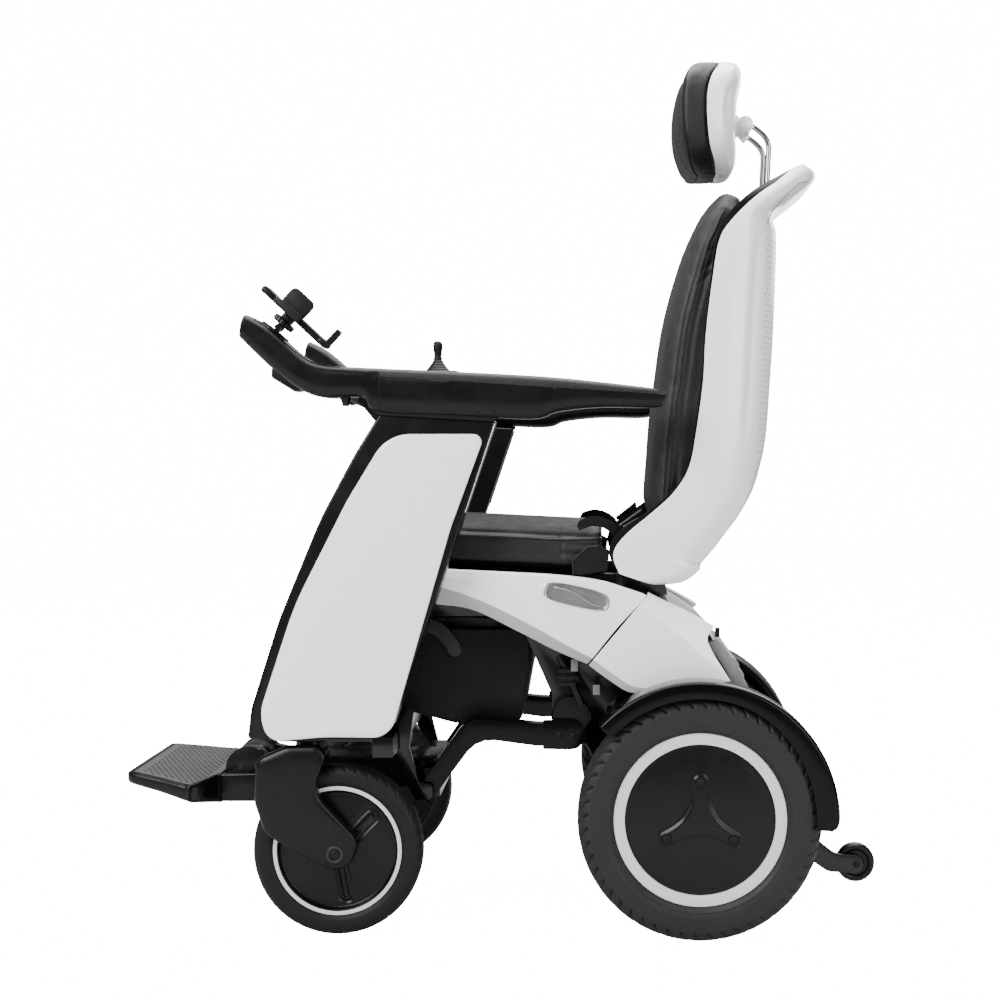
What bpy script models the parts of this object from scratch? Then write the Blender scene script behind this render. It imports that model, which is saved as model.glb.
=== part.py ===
"""Reclining power wheelchair, in metres. The rider faces -Y, +X is the rider's left, +Z is up.

The origin is on the floor, under the middle of the chair's box. Left-hand pieces are
modelled at +X and copied across the centre plane to make the right-hand ones.
"""

import math

import bmesh
import bpy
from mathutils import Matrix, Vector

# Driving dimensions: wheels
DRIVE_RADIUS = 0.178
DRIVE_X = 0.270
DRIVE_Y = 0.304
DRIVE_HALF_WIDTH = 0.0375
DRIVE_RIM_RADIUS = 0.126
CASTOR_RADIUS = 0.125
CASTOR_X = 0.240
CASTOR_SWIVEL_Y = -0.272
CASTOR_TRAIL = 0.045
CASTOR_AXLE_Y = CASTOR_SWIVEL_Y + CASTOR_TRAIL
CASTOR_HALF_WIDTH = 0.024
CASTOR_RIM_RADIUS = 0.095
ANTI_TIP_RADIUS = 0.029
ANTI_TIP_Y = 0.543
ANTI_TIP_Z = 0.094
ANTI_TIP_X = 0.1955
ANTI_TIP_ARM_X = 0.208

# Sides of each round wheel; a rim and its tyre have the same, so the gap between them is even
DRIVE_STEPS = 32
CASTOR_STEPS = 24

# Driving dimensions: seat, back and arms
SEAT_HALF_WIDTH = 0.214
SEAT_FRONT_Y = -0.280
SEAT_BACK_Y = 0.170
SEAT_TILT = math.radians(2.8)
SEAT_UNDERSIDE_Z = 0.5315
SEAT_THICKNESS = 0.072
PILLAR_INNER_X = 0.237
PILLAR_OUTER_X = 0.285
BACK_HALF_WIDTH = 0.205
SHELL_WALL = 0.004
ARM_X = 0.270
ARM_EARS = ((0.2480, 0.2535), (0.2780, 0.2835))
PAD_FRONT_Y = -0.1583
PAD_SLOPE = 0.063
POST_X = 0.045
POST_RADIUS = 0.0045
BATTERY_HALF_WIDTH = 0.119
TUBE_INNER_X = 0.133
TUBE_OUTER_X = 0.163
SIDE_PLATE_X = 0.122
SIDE_PLATE_OUTER_X = 0.1297

# Joint axes, as (y, z) in the side plane
RECLINE_AXIS = (0.231, 0.561)
HEADREST_AXIS = (0.393, 1.240)
FOOTPLATE_AXIS = (-0.400, 0.208)
ARM_AXIS = (-0.186, 0.786)
JOYSTICK_PIVOT = (-0.265, -0.129, 0.857)
CRADLE_AXIS = (-0.3100, 0.8920)
CRADLE_SLOPE = math.radians(42.9)
ACTUATOR_AXIS = (-0.050, 0.4625)
ROD_END = (0.251, 0.486)
LEVER_AXIS = (-0.128, 0.440)

# The gap that touching pieces keep
GAP = 0.0003

# Base colour, roughness and metallic value of each finish
FINISHES = {
    "white_plastic": ((0.80, 0.80, 0.79), 0.30, 0.0),
    "black_plastic": ((0.020, 0.020, 0.021), 0.45, 0.0),
    "grey_plastic": ((0.16, 0.16, 0.165), 0.50, 0.0),
    "black_steel": ((0.016, 0.016, 0.017), 0.35, 0.6),
    "black_leather": ((0.030, 0.029, 0.028), 0.50, 0.0),
    "tyre_rubber": ((0.022, 0.022, 0.022), 0.85, 0.0),
    "chrome": ((0.75, 0.75, 0.76), 0.12, 1.0),
    "webbing": ((0.015, 0.015, 0.015), 0.85, 0.0),
}


def clear_scene():
    for old in list(bpy.data.objects):
        bpy.data.objects.remove(old, do_unlink=True)


def add_collection(name):
    collection = bpy.data.collections.new(name)
    bpy.context.scene.collection.children.link(collection)
    return collection


clear_scene()
PARTS = add_collection("reclining_power_wheelchair")
CUTTERS = add_collection("cutters")

# Turns a drawing in local X and Y into the chair's side plane, Y and Z, with local Z along X
SIDE_PLANE = Matrix.Rotation(math.pi / 2, 4, "Z") @ Matrix.Rotation(math.pi / 2, 4, "X")


def finish_material(finish):
    """The Principled material of a finish, made when it is first asked for."""
    if finish in bpy.data.materials:
        return bpy.data.materials[finish]
    colour, roughness, metallic = FINISHES[finish]
    material = bpy.data.materials.new(finish)
    material.use_nodes = True
    shader = material.node_tree.nodes["Principled BSDF"]
    shader.inputs["Base Color"].default_value = (*colour, 1.0)
    shader.inputs["Roughness"].default_value = roughness
    shader.inputs["Metallic"].default_value = metallic
    return material


def add_part(name, mesh, finish):
    part = bpy.data.objects.new(name, mesh)
    mesh.materials.clear()
    mesh.materials.append(finish_material(finish))
    PARTS.objects.link(part)
    return part


def from_bmesh(name, bm, finish):
    mesh = bpy.data.meshes.new(name)
    bm.to_mesh(mesh)
    bm.free()
    return add_part(name, mesh, finish)


def evaluated_mesh(part):
    bpy.context.view_layer.update()
    graph = bpy.context.evaluated_depsgraph_get()
    return bpy.data.meshes.new_from_object(part.evaluated_get(graph))


def round_edges(part, width, segments=1, angle=35):
    bevel = part.modifiers.new("rounded edges", "BEVEL")
    bevel.width = width
    bevel.segments = segments
    bevel.limit_method = "ANGLE"
    bevel.angle_limit = math.radians(angle)
    bevel.use_clamp_overlap = True
    return part


def as_mesh(guide, finish):
    """Turns a curve object into a welded mesh object of the same name and place."""
    mesh = evaluated_mesh(guide)
    bm = bmesh.new()
    bm.from_mesh(mesh)
    bmesh.ops.remove_doubles(bm, verts=bm.verts, dist=1e-5)
    bmesh.ops.dissolve_limit(bm, angle_limit=math.radians(1), verts=bm.verts, edges=bm.edges)
    bmesh.ops.recalc_face_normals(bm, faces=bm.faces)
    bm.to_mesh(mesh)
    bm.free()
    name, place = guide.name, guide.matrix_world.copy()
    bpy.data.objects.remove(guide)
    part = add_part(name, mesh, finish)
    part.matrix_world = place
    return part


def box(name, low, high, finish="black_steel", rounding=0.0, turn=0.0, about=None):
    """A box between two corners, which may be turned about X through a point (y, z)."""
    low, high = Vector(low), Vector(high)
    place = Matrix.Translation((low + high) / 2) @ Matrix.Diagonal((*(high - low), 1.0))
    if turn:
        hub = Matrix.Translation((0.0, *about))
        place = hub @ Matrix.Rotation(turn, 4, "X") @ hub.inverted() @ place
    bm = bmesh.new()
    bmesh.ops.create_cube(bm, size=1.0, matrix=place)
    part = from_bmesh(name, bm, finish)
    if rounding:
        round_edges(part, rounding)
    return part


def disc(name, x_low, x_high, centre, radius, finish="black_steel", sides=20):
    """A cylinder along X about a centre (y, z)."""
    place = Matrix.Translation(((x_low + x_high) / 2, *centre)) @ Matrix.Rotation(math.pi / 2, 4, "Y")
    bm = bmesh.new()
    bmesh.ops.create_cone(
        bm,
        cap_ends=True,
        segments=sides,
        radius1=radius,
        radius2=radius,
        depth=x_high - x_low,
        matrix=place,
    )
    return from_bmesh(name, bm, finish)


def upright(name, centre, radius, height, finish, sides=20, top_radius=None):
    """A cylinder or cone that stands on a centre (x, y, z)."""
    place = Matrix.Translation(Vector(centre) + Vector((0, 0, height / 2)))
    bm = bmesh.new()
    bmesh.ops.create_cone(
        bm,
        cap_ends=True,
        segments=sides,
        radius1=radius,
        radius2=radius if top_radius is None else top_radius,
        depth=height,
        matrix=place,
    )
    return from_bmesh(name, bm, finish)


def bar(name, start, end, radius, finish="black_steel", sides=16):
    """A straight round bar between two points."""
    start, run = Vector(start), Vector(end) - Vector(start)
    turn = run.to_track_quat("Z", "Y").to_matrix().to_4x4()
    bm = bmesh.new()
    bmesh.ops.create_cone(
        bm,
        cap_ends=True,
        segments=sides,
        radius1=radius,
        radius2=radius,
        depth=run.length,
        matrix=Matrix.Translation(start + run / 2) @ turn,
    )
    return from_bmesh(name, bm, finish)


def rounded(corners, steps=3):
    """An outline from (y, z, radius) corners, each corner turned by an arc."""
    outline = []
    for index, (y, z, radius) in enumerate(corners):
        corner = Vector((y, z))
        back = (Vector(corners[index - 1][:2]) - corner).normalized()
        ahead = (Vector(corners[(index + 1) % len(corners)][:2]) - corner).normalized()
        if radius <= 0:
            outline.append(corner)
            continue
        half = back.angle(ahead) / 2
        centre = corner + (back + ahead).normalized() * (radius / math.sin(half))
        start = corner + back * (radius / math.tan(half)) - centre
        end = corner + ahead * (radius / math.tan(half)) - centre
        first = math.atan2(start.y, start.x)
        sweep = (math.atan2(end.y, end.x) - first + math.pi) % (2 * math.pi) - math.pi
        for step in range(steps + 1):
            angle = first + sweep * step / steps
            outline.append(centre + radius * Vector((math.cos(angle), math.sin(angle))))
    return [tuple(point) for point in outline]


def smooth(points, spans=3):
    """Points on a Catmull-Rom curve through the given ones, of any dimension."""
    points = [Vector(point) for point in points]
    last = len(points) - 1
    curve = []
    for index in range(last):
        a, b, c, d = (points[min(max(pick, 0), last)] for pick in range(index - 1, index + 3))
        for step in range(spans):
            t = step / spans
            bend = (2 * a - 5 * b + 4 * c - d) * t**2 + (3 * b - a - 3 * c + d) * t**3
            curve.append(0.5 * (2 * b + (c - a) * t + bend))
    curve.append(points[-1])
    return [tuple(point) for point in curve]


def plate(name, outline, x_low, x_high, finish="black_steel", rounding=0.0):
    """A flat outline in the side plane, as (y, z) points, with its thickness along X."""
    curve = bpy.data.curves.new(name, "CURVE")
    curve.dimensions = "2D"
    curve.fill_mode = "BOTH"
    curve.extrude = (x_high - x_low) / 2
    spline = curve.splines.new("POLY")
    spline.points.add(len(outline) - 1)
    for point, (y, z) in zip(spline.points, outline):
        point.co = (y, z, 0.0, 1.0)
    spline.use_cyclic_u = True
    guide = bpy.data.objects.new(name, curve)
    guide.matrix_world = Matrix.Translation(((x_low + x_high) / 2, 0, 0)) @ SIDE_PLANE
    PARTS.objects.link(guide)
    part = as_mesh(guide, finish)
    if rounding:
        round_edges(part, rounding)
    return part


def tube(name, route, radius, finish, sides_setting=2):
    """A round bar along a route of (x, y, z) points."""
    curve = bpy.data.curves.new(name, "CURVE")
    curve.dimensions = "3D"
    curve.bevel_depth = radius
    curve.bevel_resolution = sides_setting
    curve.use_fill_caps = True
    spline = curve.splines.new("POLY")
    spline.points.add(len(route) - 1)
    for point, place in zip(spline.points, route):
        point.co = (*place, 1.0)
    guide = bpy.data.objects.new(name, curve)
    PARTS.objects.link(guide)
    return as_mesh(guide, finish)


def loft(name, rings, finish):
    """A closed body through rings of equal length, with flat ends."""
    bm = bmesh.new()
    rows = [[bm.verts.new(point) for point in ring] for ring in rings]
    for row, following in zip(rows, rows[1:]):
        for index in range(len(row)):
            beside = (index + 1) % len(row)
            bm.faces.new((row[index], row[beside], following[beside], following[index]))
    bm.faces.new(rows[0])
    bm.faces.new(rows[-1])
    bmesh.ops.recalc_face_normals(bm, faces=bm.faces)
    return from_bmesh(name, bm, finish)


def skin(name, rows, thickness, finish, left_out=(), reverse=False):
    """An open surface through rows of points, given its wall on the inner side."""
    bm = bmesh.new()
    grid = [[bm.verts.new(point) for point in row] for row in rows]
    for i in range(len(grid) - 1):
        for j in range(len(grid[0]) - 1):
            if (i, j) in left_out:
                continue
            face = (grid[i][j], grid[i][j + 1], grid[i + 1][j + 1], grid[i + 1][j])
            bm.faces.new(face[::-1] if reverse else face)
    loose = [vert for vert in bm.verts if not vert.link_faces]
    bmesh.ops.delete(bm, geom=loose, context="VERTS")
    part = from_bmesh(name, bm, finish)
    wall = part.modifiers.new("wall", "SOLIDIFY")
    wall.thickness = thickness
    wall.offset = -1.0
    wall.use_even_offset = True
    return part


def turned(name, profile, centre, finish, steps, closed=True):
    """A profile of (radius, distance along X) points turned about the X axis through a centre.

    It runs down its outer side, from the outer face to the inner one.
    """
    bm = bmesh.new()
    points = [bm.verts.new((radius, 0.0, along)) for radius, along in profile]
    for first, second in zip(points, points[1:]):
        bm.edges.new((first, second))
    if closed:
        bm.edges.new((points[-1], points[0]))
    part = from_bmesh(name, bm, finish)
    part.rotation_euler = (0.0, math.pi / 2, 0.0)
    part.location = centre
    screw = part.modifiers.new("turn", "SCREW")
    screw.steps = steps
    screw.render_steps = steps
    screw.use_merge_vertices = True
    screw.merge_threshold = 1e-5
    return part


def use_as_tool(part):
    PARTS.objects.unlink(part)
    CUTTERS.objects.link(part)
    part.hide_render = True
    part.display_type = "WIRE"


def combine(part, operation, tools):
    for tool in tools:
        use_as_tool(tool)
        step = part.modifiers.new(operation.lower() + " " + tool.name, "BOOLEAN")
        step.operation = operation
        step.object = tool
    return part


def join(part, *tools):
    return combine(part, "UNION", tools)


def cut(part, *tools):
    return combine(part, "DIFFERENCE", tools)


def right_hand_copy(left):
    """The same piece mirrored across the chair's centre plane."""
    mesh = evaluated_mesh(left)
    mesh.transform(Matrix.Diagonal((-1.0, 1.0, 1.0, 1.0)) @ left.matrix_world)
    mesh.flip_normals()
    finish = left.data.materials[0].name
    return add_part(left.name.replace("_left", "_right"), mesh, finish)


# Base

def wheel_arc(inner, outer, first, last):
    """Four corners of a short band about the drive wheel's axle, between two angles in degrees."""
    angles = [math.radians(angle) for angle in (first, last)]
    corners = [(inner, angles[0]), (outer, angles[0]), (outer, angles[1]), (inner, angles[1])]
    return [(DRIVE_Y + r * math.cos(a), DRIVE_RADIUS + r * math.sin(a)) for r, a in corners]


def sorted_box(side, x_low, x_high, y_low, y_high, z_low, z_high):
    """The two corners of a box on the left side, or of its mirror image on the right."""
    first, second = sorted((side * x_low, side * x_high))
    return (first, y_low, z_low), (second, y_high, z_high)


# Tabs and rails of the seat frame, on each side: x, y and z from and to
FRAME_BOXES = {
    "rail": (0.150, 0.180, -0.270, 0.250, 0.484, 0.5260),
    "web": (0.126, 0.160, 0.035, 0.245, 0.486, 0.500),
    "cover_tab": (0.179, 0.2265, 0.030, 0.050, 0.489, 0.499),
    "rear_cover_tab": (0.129, 0.2262, 0.258, 0.276, 0.405, 0.415),
    "belt_tab": (0.179, 0.2115, 0.184, 0.1925, 0.505, 0.5285),
    "tail_tab": (0.1235, 0.1285, 0.285, 0.3515, 0.392, 0.401),
    "actuator_ear": (0.0195, 0.0255, -0.070, -0.030, 0.4470, 0.527),
}


def seat_frame():
    """Seat pan, rails, side plates that carry the motors, and the lugs of the backrest hinge."""
    pan_top = SEAT_UNDERSIDE_Z - 0.0015
    pan = ((-0.2145, -0.285, pan_top - 0.006), (0.2145, 0.150, pan_top))
    frame = box("seat_frame", *pan, turn=-SEAT_TILT, about=(0.0, pan_top))
    side_outline = rounded(
        [
            (-0.150, 0.500, 0.004),
            (-0.150, 0.458, 0.004),
            (0.031, 0.458, 0.020),
            (0.085, 0.337, 0.010),
            (0.085, 0.264, 0.010),
            (0.135, 0.260, 0.010),
            (0.200, 0.150, 0.020),
            (0.375, 0.155, 0.010),
            (0.375, 0.200, 0.010),
            (0.290, 0.420, 0.020),
            (0.250, 0.500, 0.010),
        ],
        steps=2,
    )
    lug = [(0.200, 0.495), (0.213, 0.566), (0.231, 0.570), (0.249, 0.566), (0.261, 0.495)]
    axle = (DRIVE_Y, DRIVE_RADIUS)
    stay = wheel_arc(0.1840, 0.1940, 128, 134)
    pieces = []
    for side in (-1, 1):
        tag = "_left" if side > 0 else "_right"
        pieces += [box(name + tag, *sorted_box(side, *size)) for name, size in FRAME_BOXES.items()]
        low, high = sorted((side * SIDE_PLATE_X, side * SIDE_PLATE_OUTER_X))
        pieces.append(plate("side_plate" + tag, side_outline, low + 0.0005, high - 0.0005))
        pieces.append(disc("tube_seat" + tag, low, high, (0.122, 0.295), 0.0365, sides=12))
        pieces.append(disc("motor_seat" + tag, low, high, axle, 0.060, sides=12))
        pieces.append(plate("hinge_lug" + tag, lug, *sorted((side * 0.1770, side * 0.1840))))
        eye = sorted((side * 0.1765, side * 0.1845))
        pieces.append(disc("hinge_eye" + tag, *eye, RECLINE_AXIS, 0.022, sides=16))
        pieces.append(plate("fender_stay" + tag, stay, *sorted((side * 0.126, side * 0.2327))))
    pieces.append(box("front_bearer", (-0.2365, -0.245, 0.490), (0.2365, -0.215, 0.520)))
    pieces.append(box("middle_bearer", (-0.2365, -0.165, 0.490), (0.2365, -0.140, 0.520)))
    pieces.append(box("rear_cross_tube", (-0.126, 0.170, 0.395), (0.126, 0.200, 0.430)))
    reach = ANTI_TIP_ARM_X - GAP
    pieces.append(box("anti_tip_cross_tube", (-reach, 0.358, 0.162), (reach, 0.385, 0.192)))
    return join(frame, *pieces)


def front_frame():
    """Castor arms, the tube that joins them, their side links and the central footrest beam."""
    frame = box("front_frame", (-0.262, -0.175, 0.262), (0.262, -0.145, 0.2915))
    pieces = [
        box("centre_upright", (-0.040, -0.172, 0.200), (0.040, -0.149, 0.275)),
        box("footrest_beam", (-0.050, -0.3615, 0.178), (0.050, -0.100, 0.226)),
        box("lower_cross_beam", (-0.1325, -0.125, 0.180), (0.1325, -0.088, 0.2235)),
    ]
    arm = rounded(
        [
            (-0.312, 0.2855, 0.002),
            (-0.178, 0.2855, 0.002),
            (-0.165, 0.268, 0.002),
            (-0.150, 0.268, 0.002),
            (-0.150, 0.2906, 0.002),
            (-0.312, 0.2906, 0.002),
        ],
        steps=2,
    )
    link = rounded(
        [
            (-0.172, 0.288, 0),
            (-0.150, 0.235, 0.010),
            (-0.122, 0.182, 0.008),
            (-0.096, 0.182, 0.008),
            (-0.096, 0.206, 0.006),
            (-0.117, 0.208, 0.006),
            (-0.131, 0.262, 0.020),
            (-0.124, 0.320, 0.003),
            (-0.146, 0.322, 0.003),
        ],
        steps=3,
    )
    cheek = [(-0.412, 0.174), (-0.340, 0.180), (-0.340, 0.224), (-0.412, 0.240)]
    for side in (-1, 1):
        tag = "left" if side > 0 else "right"
        pieces.append(plate("castor_arm_" + tag, arm, *sorted((side * 0.204, side * 0.2612))))
        pieces.append(plate("front_link_" + tag, link, *sorted((side * 0.1645, side * 0.1725))))
        pieces.append(plate("cheek_" + tag, cheek, *sorted((side * 0.0363, side * 0.0572))))
        cheek_ends = sorted((side * 0.0355, side * 0.0577))
        pieces.append(disc("cheek_end_" + tag, *cheek_ends, FOOTPLATE_AXIS, 0.036, sides=20))
    return join(frame, *pieces)


def lower_tube():
    """The bent rectangular tube from the side plate down to the castor arms, with its fish-plate."""
    outline = rounded(
        [
            (0.128, 0.294, 0.012),
            (0.128, 0.264, 0.012),
            (0.062, 0.2625, 0.0),
            (-0.028, 0.2745, 0.045),
            (-0.1035, 0.1725, 0.003),
            (-0.1185, 0.198, 0.003),
            (-0.043, 0.3065, 0.040),
            (0.062, 0.2965, 0.0),
        ]
    )
    part = plate("lower_tube_left", outline, TUBE_INNER_X, TUBE_OUTER_X, rounding=0.003)
    fish = rounded(
        [
            (0.072, 0.3025, 0.003),
            (0.072, 0.2585, 0.003),
            (0.134, 0.2575, 0.018),
            (0.134, 0.3035, 0.018),
        ]
    )
    return join(part, plate("fish_plate", fish, TUBE_OUTER_X - 0.001, TUBE_OUTER_X + 0.005))


def battery_box():
    """An open tray with a sagging floor; the wall is 3 mm."""
    corners = [
        (-0.150, 0.440, 0.006),
        (-0.156, 0.314, 0.014),
        (-0.065, 0.2900, 0.060),
        (0.020, 0.2890, 0.030),
        (0.0375, 0.296, 0.012),
        (0.052, 0.375, 0.060),
        (0.0510, 0.440, 0.006),
    ]
    half = BATTERY_HALF_WIDTH
    outer = plate("battery_box", rounded(corners), -half, half, "black_plastic", 0.004)
    cavity = box("battery_space", (-0.114, -0.146, 0.322), (0.114, 0.0405, 0.480))
    return cut(outer, cavity)


def battery_pack():
    """The pack that lifts out of the tray."""
    return box("battery_pack", (-0.1125, -0.1445, 0.3235), (0.1125, 0.039, 0.4345), "grey_plastic", 0.004)


def battery_lever():
    """The curved grey lever that frees the battery, hinged at its front end."""
    route = [(-0.128, 0.440), (-0.108, 0.443), (-0.088, 0.434), (-0.072, 0.416), (-0.066, 0.405)]
    upper = smooth(route, 2)
    width = 0.011
    outline = []
    for sign in (1, -1):
        edge = []
        for index, (y, z) in enumerate(upper):
            y0, z0 = upper[max(index - 1, 0)]
            y1, z1 = upper[min(index + 1, len(upper) - 1)]
            run = math.hypot(y1 - y0, z1 - z0)
            edge.append((y - sign * width * (z1 - z0) / run, z + sign * width * (y1 - y0) / run))
        outline += edge if sign > 0 else edge[::-1]
    part = plate("battery_lever", outline, 0.1198, 0.1258, "grey_plastic")
    return join(part, disc("lever_hub", 0.1196, 0.1275, LEVER_AXIS, 0.0125, "grey_plastic"))


def side_cover(name, stations, lines, finish):
    """A moulded panel through stations, with one (y, z) point in each for every line along it.

    The lines are the panel's x positions, from its inner top edge to its lower edge.
    """
    rows = []
    paths = [smooth([station[line] for station in stations], 2) for line in range(len(lines))]
    for points in zip(*paths):
        rows.append([(x, y, z) for x, (y, z) in zip(lines, points)])
    return skin(name, rows, 0.003, finish)


def front_side_cover():
    lines = (0.2165, 0.2225, 0.2270, 0.2315, 0.2305, 0.2210)
    edges = [
        ((-0.120, 0.5385), (-0.122, 0.513), (-0.124, 0.488)),
        ((-0.067, 0.5355), (-0.076, 0.509), (-0.086, 0.484)),
        ((0.015, 0.5315), (-0.010, 0.486), (-0.030, 0.475)),
        ((0.094, 0.527), (0.064, 0.449), (0.039, 0.442)),
        ((0.160, 0.5185), (0.108, 0.424), (0.092, 0.415)),
        ((0.2245, 0.4985), (0.1472, 0.4035), (0.1398, 0.3945)),
    ]
    stations = []
    for top, crease, lower in edges:
        shoulder = (top[0], top[1] - 0.006)
        middle = ((top[0] + crease[0]) / 2, (top[1] + crease[1]) / 2)
        stations.append(((top[0], top[1] + 0.001), top, shoulder, middle, crease, lower))
    return side_cover("side_cover_left", stations, lines, "white_plastic")


def rear_side_cover():
    """It slopes in above its crease, and its rear edge is notched for the tail panel."""
    lines = (0.2045, 0.2130, 0.2240, 0.2315, 0.2310, 0.2285)
    edges = [
        ((0.2312, 0.5000), (0.2264, 0.4940), (0.2200, 0.4865), (0.1424, 0.3935)),
        ((0.2500, 0.4905), (0.2480, 0.4810), (0.2460, 0.4700), (0.1760, 0.3690)),
        ((0.2720, 0.4800), (0.2700, 0.4650), (0.2680, 0.4490), (0.2050, 0.3530)),
        ((0.2950, 0.4680), (0.2920, 0.4470), (0.2920, 0.4250), (0.2500, 0.3540)),
        ((0.3130, 0.4580), (0.3090, 0.4350), (0.3170, 0.4000), (0.3000, 0.3550)),
        ((0.3290, 0.4480), (0.3200, 0.4270), (0.3520, 0.3720), (0.3560, 0.3560)),
    ]
    stations = []
    for top, middle, crease, lower in edges:
        side = ((crease[0] + lower[0]) / 2, (crease[1] + lower[1]) / 2)
        stations.append(((top[0], top[1] + 0.001), top, middle, crease, side, lower))
    return side_cover("rear_cover_left", stations, lines, "white_plastic")


def top_cover():
    """The crowned cover between the rear side covers."""
    stations = [(0.2640, 0.4800), (0.2850, 0.4680), (0.3080, 0.4530), (0.3250, 0.4390), (0.3340, 0.4250)]
    edge = smooth(stations, 2)
    half = 0.204
    rows = []
    for x in (-half, -half / 2, 0.0, half / 2, half):
        rows.append([(x, y, z + 0.004 * (1 - (x / half) ** 2)) for y, z in edge])
    return skin("top_cover", rows, 0.003, "white_plastic", reverse=True)


def tail_panel():
    """The grey panel that closes the rear, under the end of the top cover."""
    edge = smooth([(0.3400, 0.4235), (0.3525, 0.4090), (0.3670, 0.3850), (0.3765, 0.3600), (0.3785, 0.3510)], 2)
    rows = [[(x, y, z) for y, z in edge] for x in (-0.205, 0.0, 0.205)]
    return skin("tail_panel", rows, 0.004, "grey_plastic", reverse=True)


def fender():
    """The arc over the drive wheel, with a lip down each of its sides and a rounded rear end."""
    section = [
        (0.2330, 0.1815),
        (0.2330, 0.1985),
        (0.2600, 0.2005),
        (0.3000, 0.2015),
        (0.3110, 0.2005),
        (0.3145, 0.1965),
        (0.3145, 0.1770),
    ]
    inner = section[-1][1]
    rows = []
    for degrees, share in [(-4, 0.55), (-2, 0.84), (2, 1.0)] + [(8 + 10.75 * step, 1.0) for step in range(13)]:
        c, s = math.cos(math.radians(degrees)), math.sin(math.radians(degrees))
        radii = [inner + (r - inner) * share for _, r in section]
        rows.append([(x, DRIVE_Y + r * c, DRIVE_RADIUS + r * s) for (x, _), r in zip(section, radii)])
    return skin("fender_left", rows, 0.003, "black_plastic", reverse=True)


def pillar():
    """The armrest's pillar, with the two ears that the armrest turns on."""
    corners = [
        (-0.1620, 0.7665, 0.004),
        (0.0075, 0.7565, 0.004),
        (-0.0370, 0.623, 0.30),
        (-0.1200, 0.379, 0.30),
        (-0.1420, 0.312, 0.015),
        (-0.1600, 0.2925, 0.010),
        (-0.2600, 0.2925, 0.050),
        (-0.3540, 0.2922, 0.006),
        (-0.3490, 0.337, 0.10),
        (-0.3080, 0.468, 0.50),
        (-0.2480, 0.614, 0.50),
        (-0.1990, 0.706, 0.20),
    ]
    body = plate("pillar_left", rounded(corners, 2), PILLAR_INNER_X, PILLAR_OUTER_X, "black_plastic")
    round_edges(body, 0.004)
    stem = [
        (-0.1925, 0.7840),
        (-0.1640, 0.7500),
        (-0.1500, 0.7500),
        (-0.1500, 0.7630),
        (-0.1640, 0.7635),
        (-0.1820, 0.7800),
    ]
    ears = []
    for low, high in ARM_EARS:
        ears.append(plate("ear_stem", stem, low + 0.0004, high - 0.0004, "black_plastic"))
        ears.append(disc("ear_end", low, high, ARM_AXIS, 0.0070, "black_plastic", 16))
    return join(body, *ears)


def pillar_panel():
    """The white panel on the pillar's outer face."""
    corners = [
        (-0.0080, 0.7365, 0.012),
        (-0.0580, 0.6000, 0.30),
        (-0.1230, 0.3750, 0.30),
        (-0.1460, 0.2950, 0.035),
        (-0.2400, 0.2965, 0.40),
        (-0.3230, 0.2890, 0.025),
        (-0.3360, 0.3300, 0.060),
        (-0.2850, 0.4880, 0.50),
        (-0.2080, 0.6410, 0.50),
        (-0.1500, 0.7365, 0.060),
    ]
    inner = PILLAR_OUTER_X + GAP
    body = plate("pillar_panel_left", rounded(corners, 2), inner, inner + 0.005, "white_plastic")
    return round_edges(body, 0.0018)


def drive_motor():
    """The motor between side plate and wheel, with its gearbox nose."""
    axle = (DRIVE_Y, DRIVE_RADIUS)
    motor = disc("drive_motor_left", 0.130, 0.215, axle, 0.050, sides=24)
    return join(motor, disc("gearbox_nose", 0.214, 0.2262, axle, 0.034))


def drive_tyre():
    """The drive wheel's tyre, with rounded shoulders."""
    profile = [
        (0.1263, 0.0300),
        (0.1450, DRIVE_HALF_WIDTH),
        (0.1640, 0.0365),
        (DRIVE_RADIUS, 0.0200),
        (DRIVE_RADIUS, -0.0200),
        (0.1640, -0.0365),
        (0.1450, -DRIVE_HALF_WIDTH),
        (0.1263, -0.0300),
    ]
    centre = (DRIVE_X, DRIVE_Y, DRIVE_RADIUS)
    return turned("drive_tyre_left", profile, centre, "tyre_rubber", DRIVE_STEPS)


def drive_rim():
    """The rim with its light ring, its domed cover and the hub towards the motor."""
    profile = [
        (0.0, 0.0345),
        (0.0700, 0.0325),
        (0.1095, 0.0255),
        (0.1115, 0.0300),
        (DRIVE_RIM_RADIUS, 0.0290),
        (DRIVE_RIM_RADIUS, -0.0290),
        (0.0500, -0.0120),
        (0.0400, -0.0432),
        (0.0, -0.0432),
    ]
    centre = (DRIVE_X, DRIVE_Y, DRIVE_RADIUS)
    return turned("drive_rim_left", profile, centre, "black_plastic", DRIVE_STEPS, closed=False)


def castor_tyre():
    """The castor's tyre, with rounded shoulders."""
    profile = [
        (0.0953, 0.0190),
        (0.1070, CASTOR_HALF_WIDTH),
        (0.1180, 0.0220),
        (CASTOR_RADIUS, 0.0120),
        (CASTOR_RADIUS, -0.0120),
        (0.1180, -0.0220),
        (0.1070, -CASTOR_HALF_WIDTH),
        (0.0953, -0.0190),
    ]
    centre = (CASTOR_X, CASTOR_AXLE_Y, CASTOR_RADIUS)
    return turned("castor_tyre_left", profile, centre, "tyre_rubber", CASTOR_STEPS)


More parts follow.
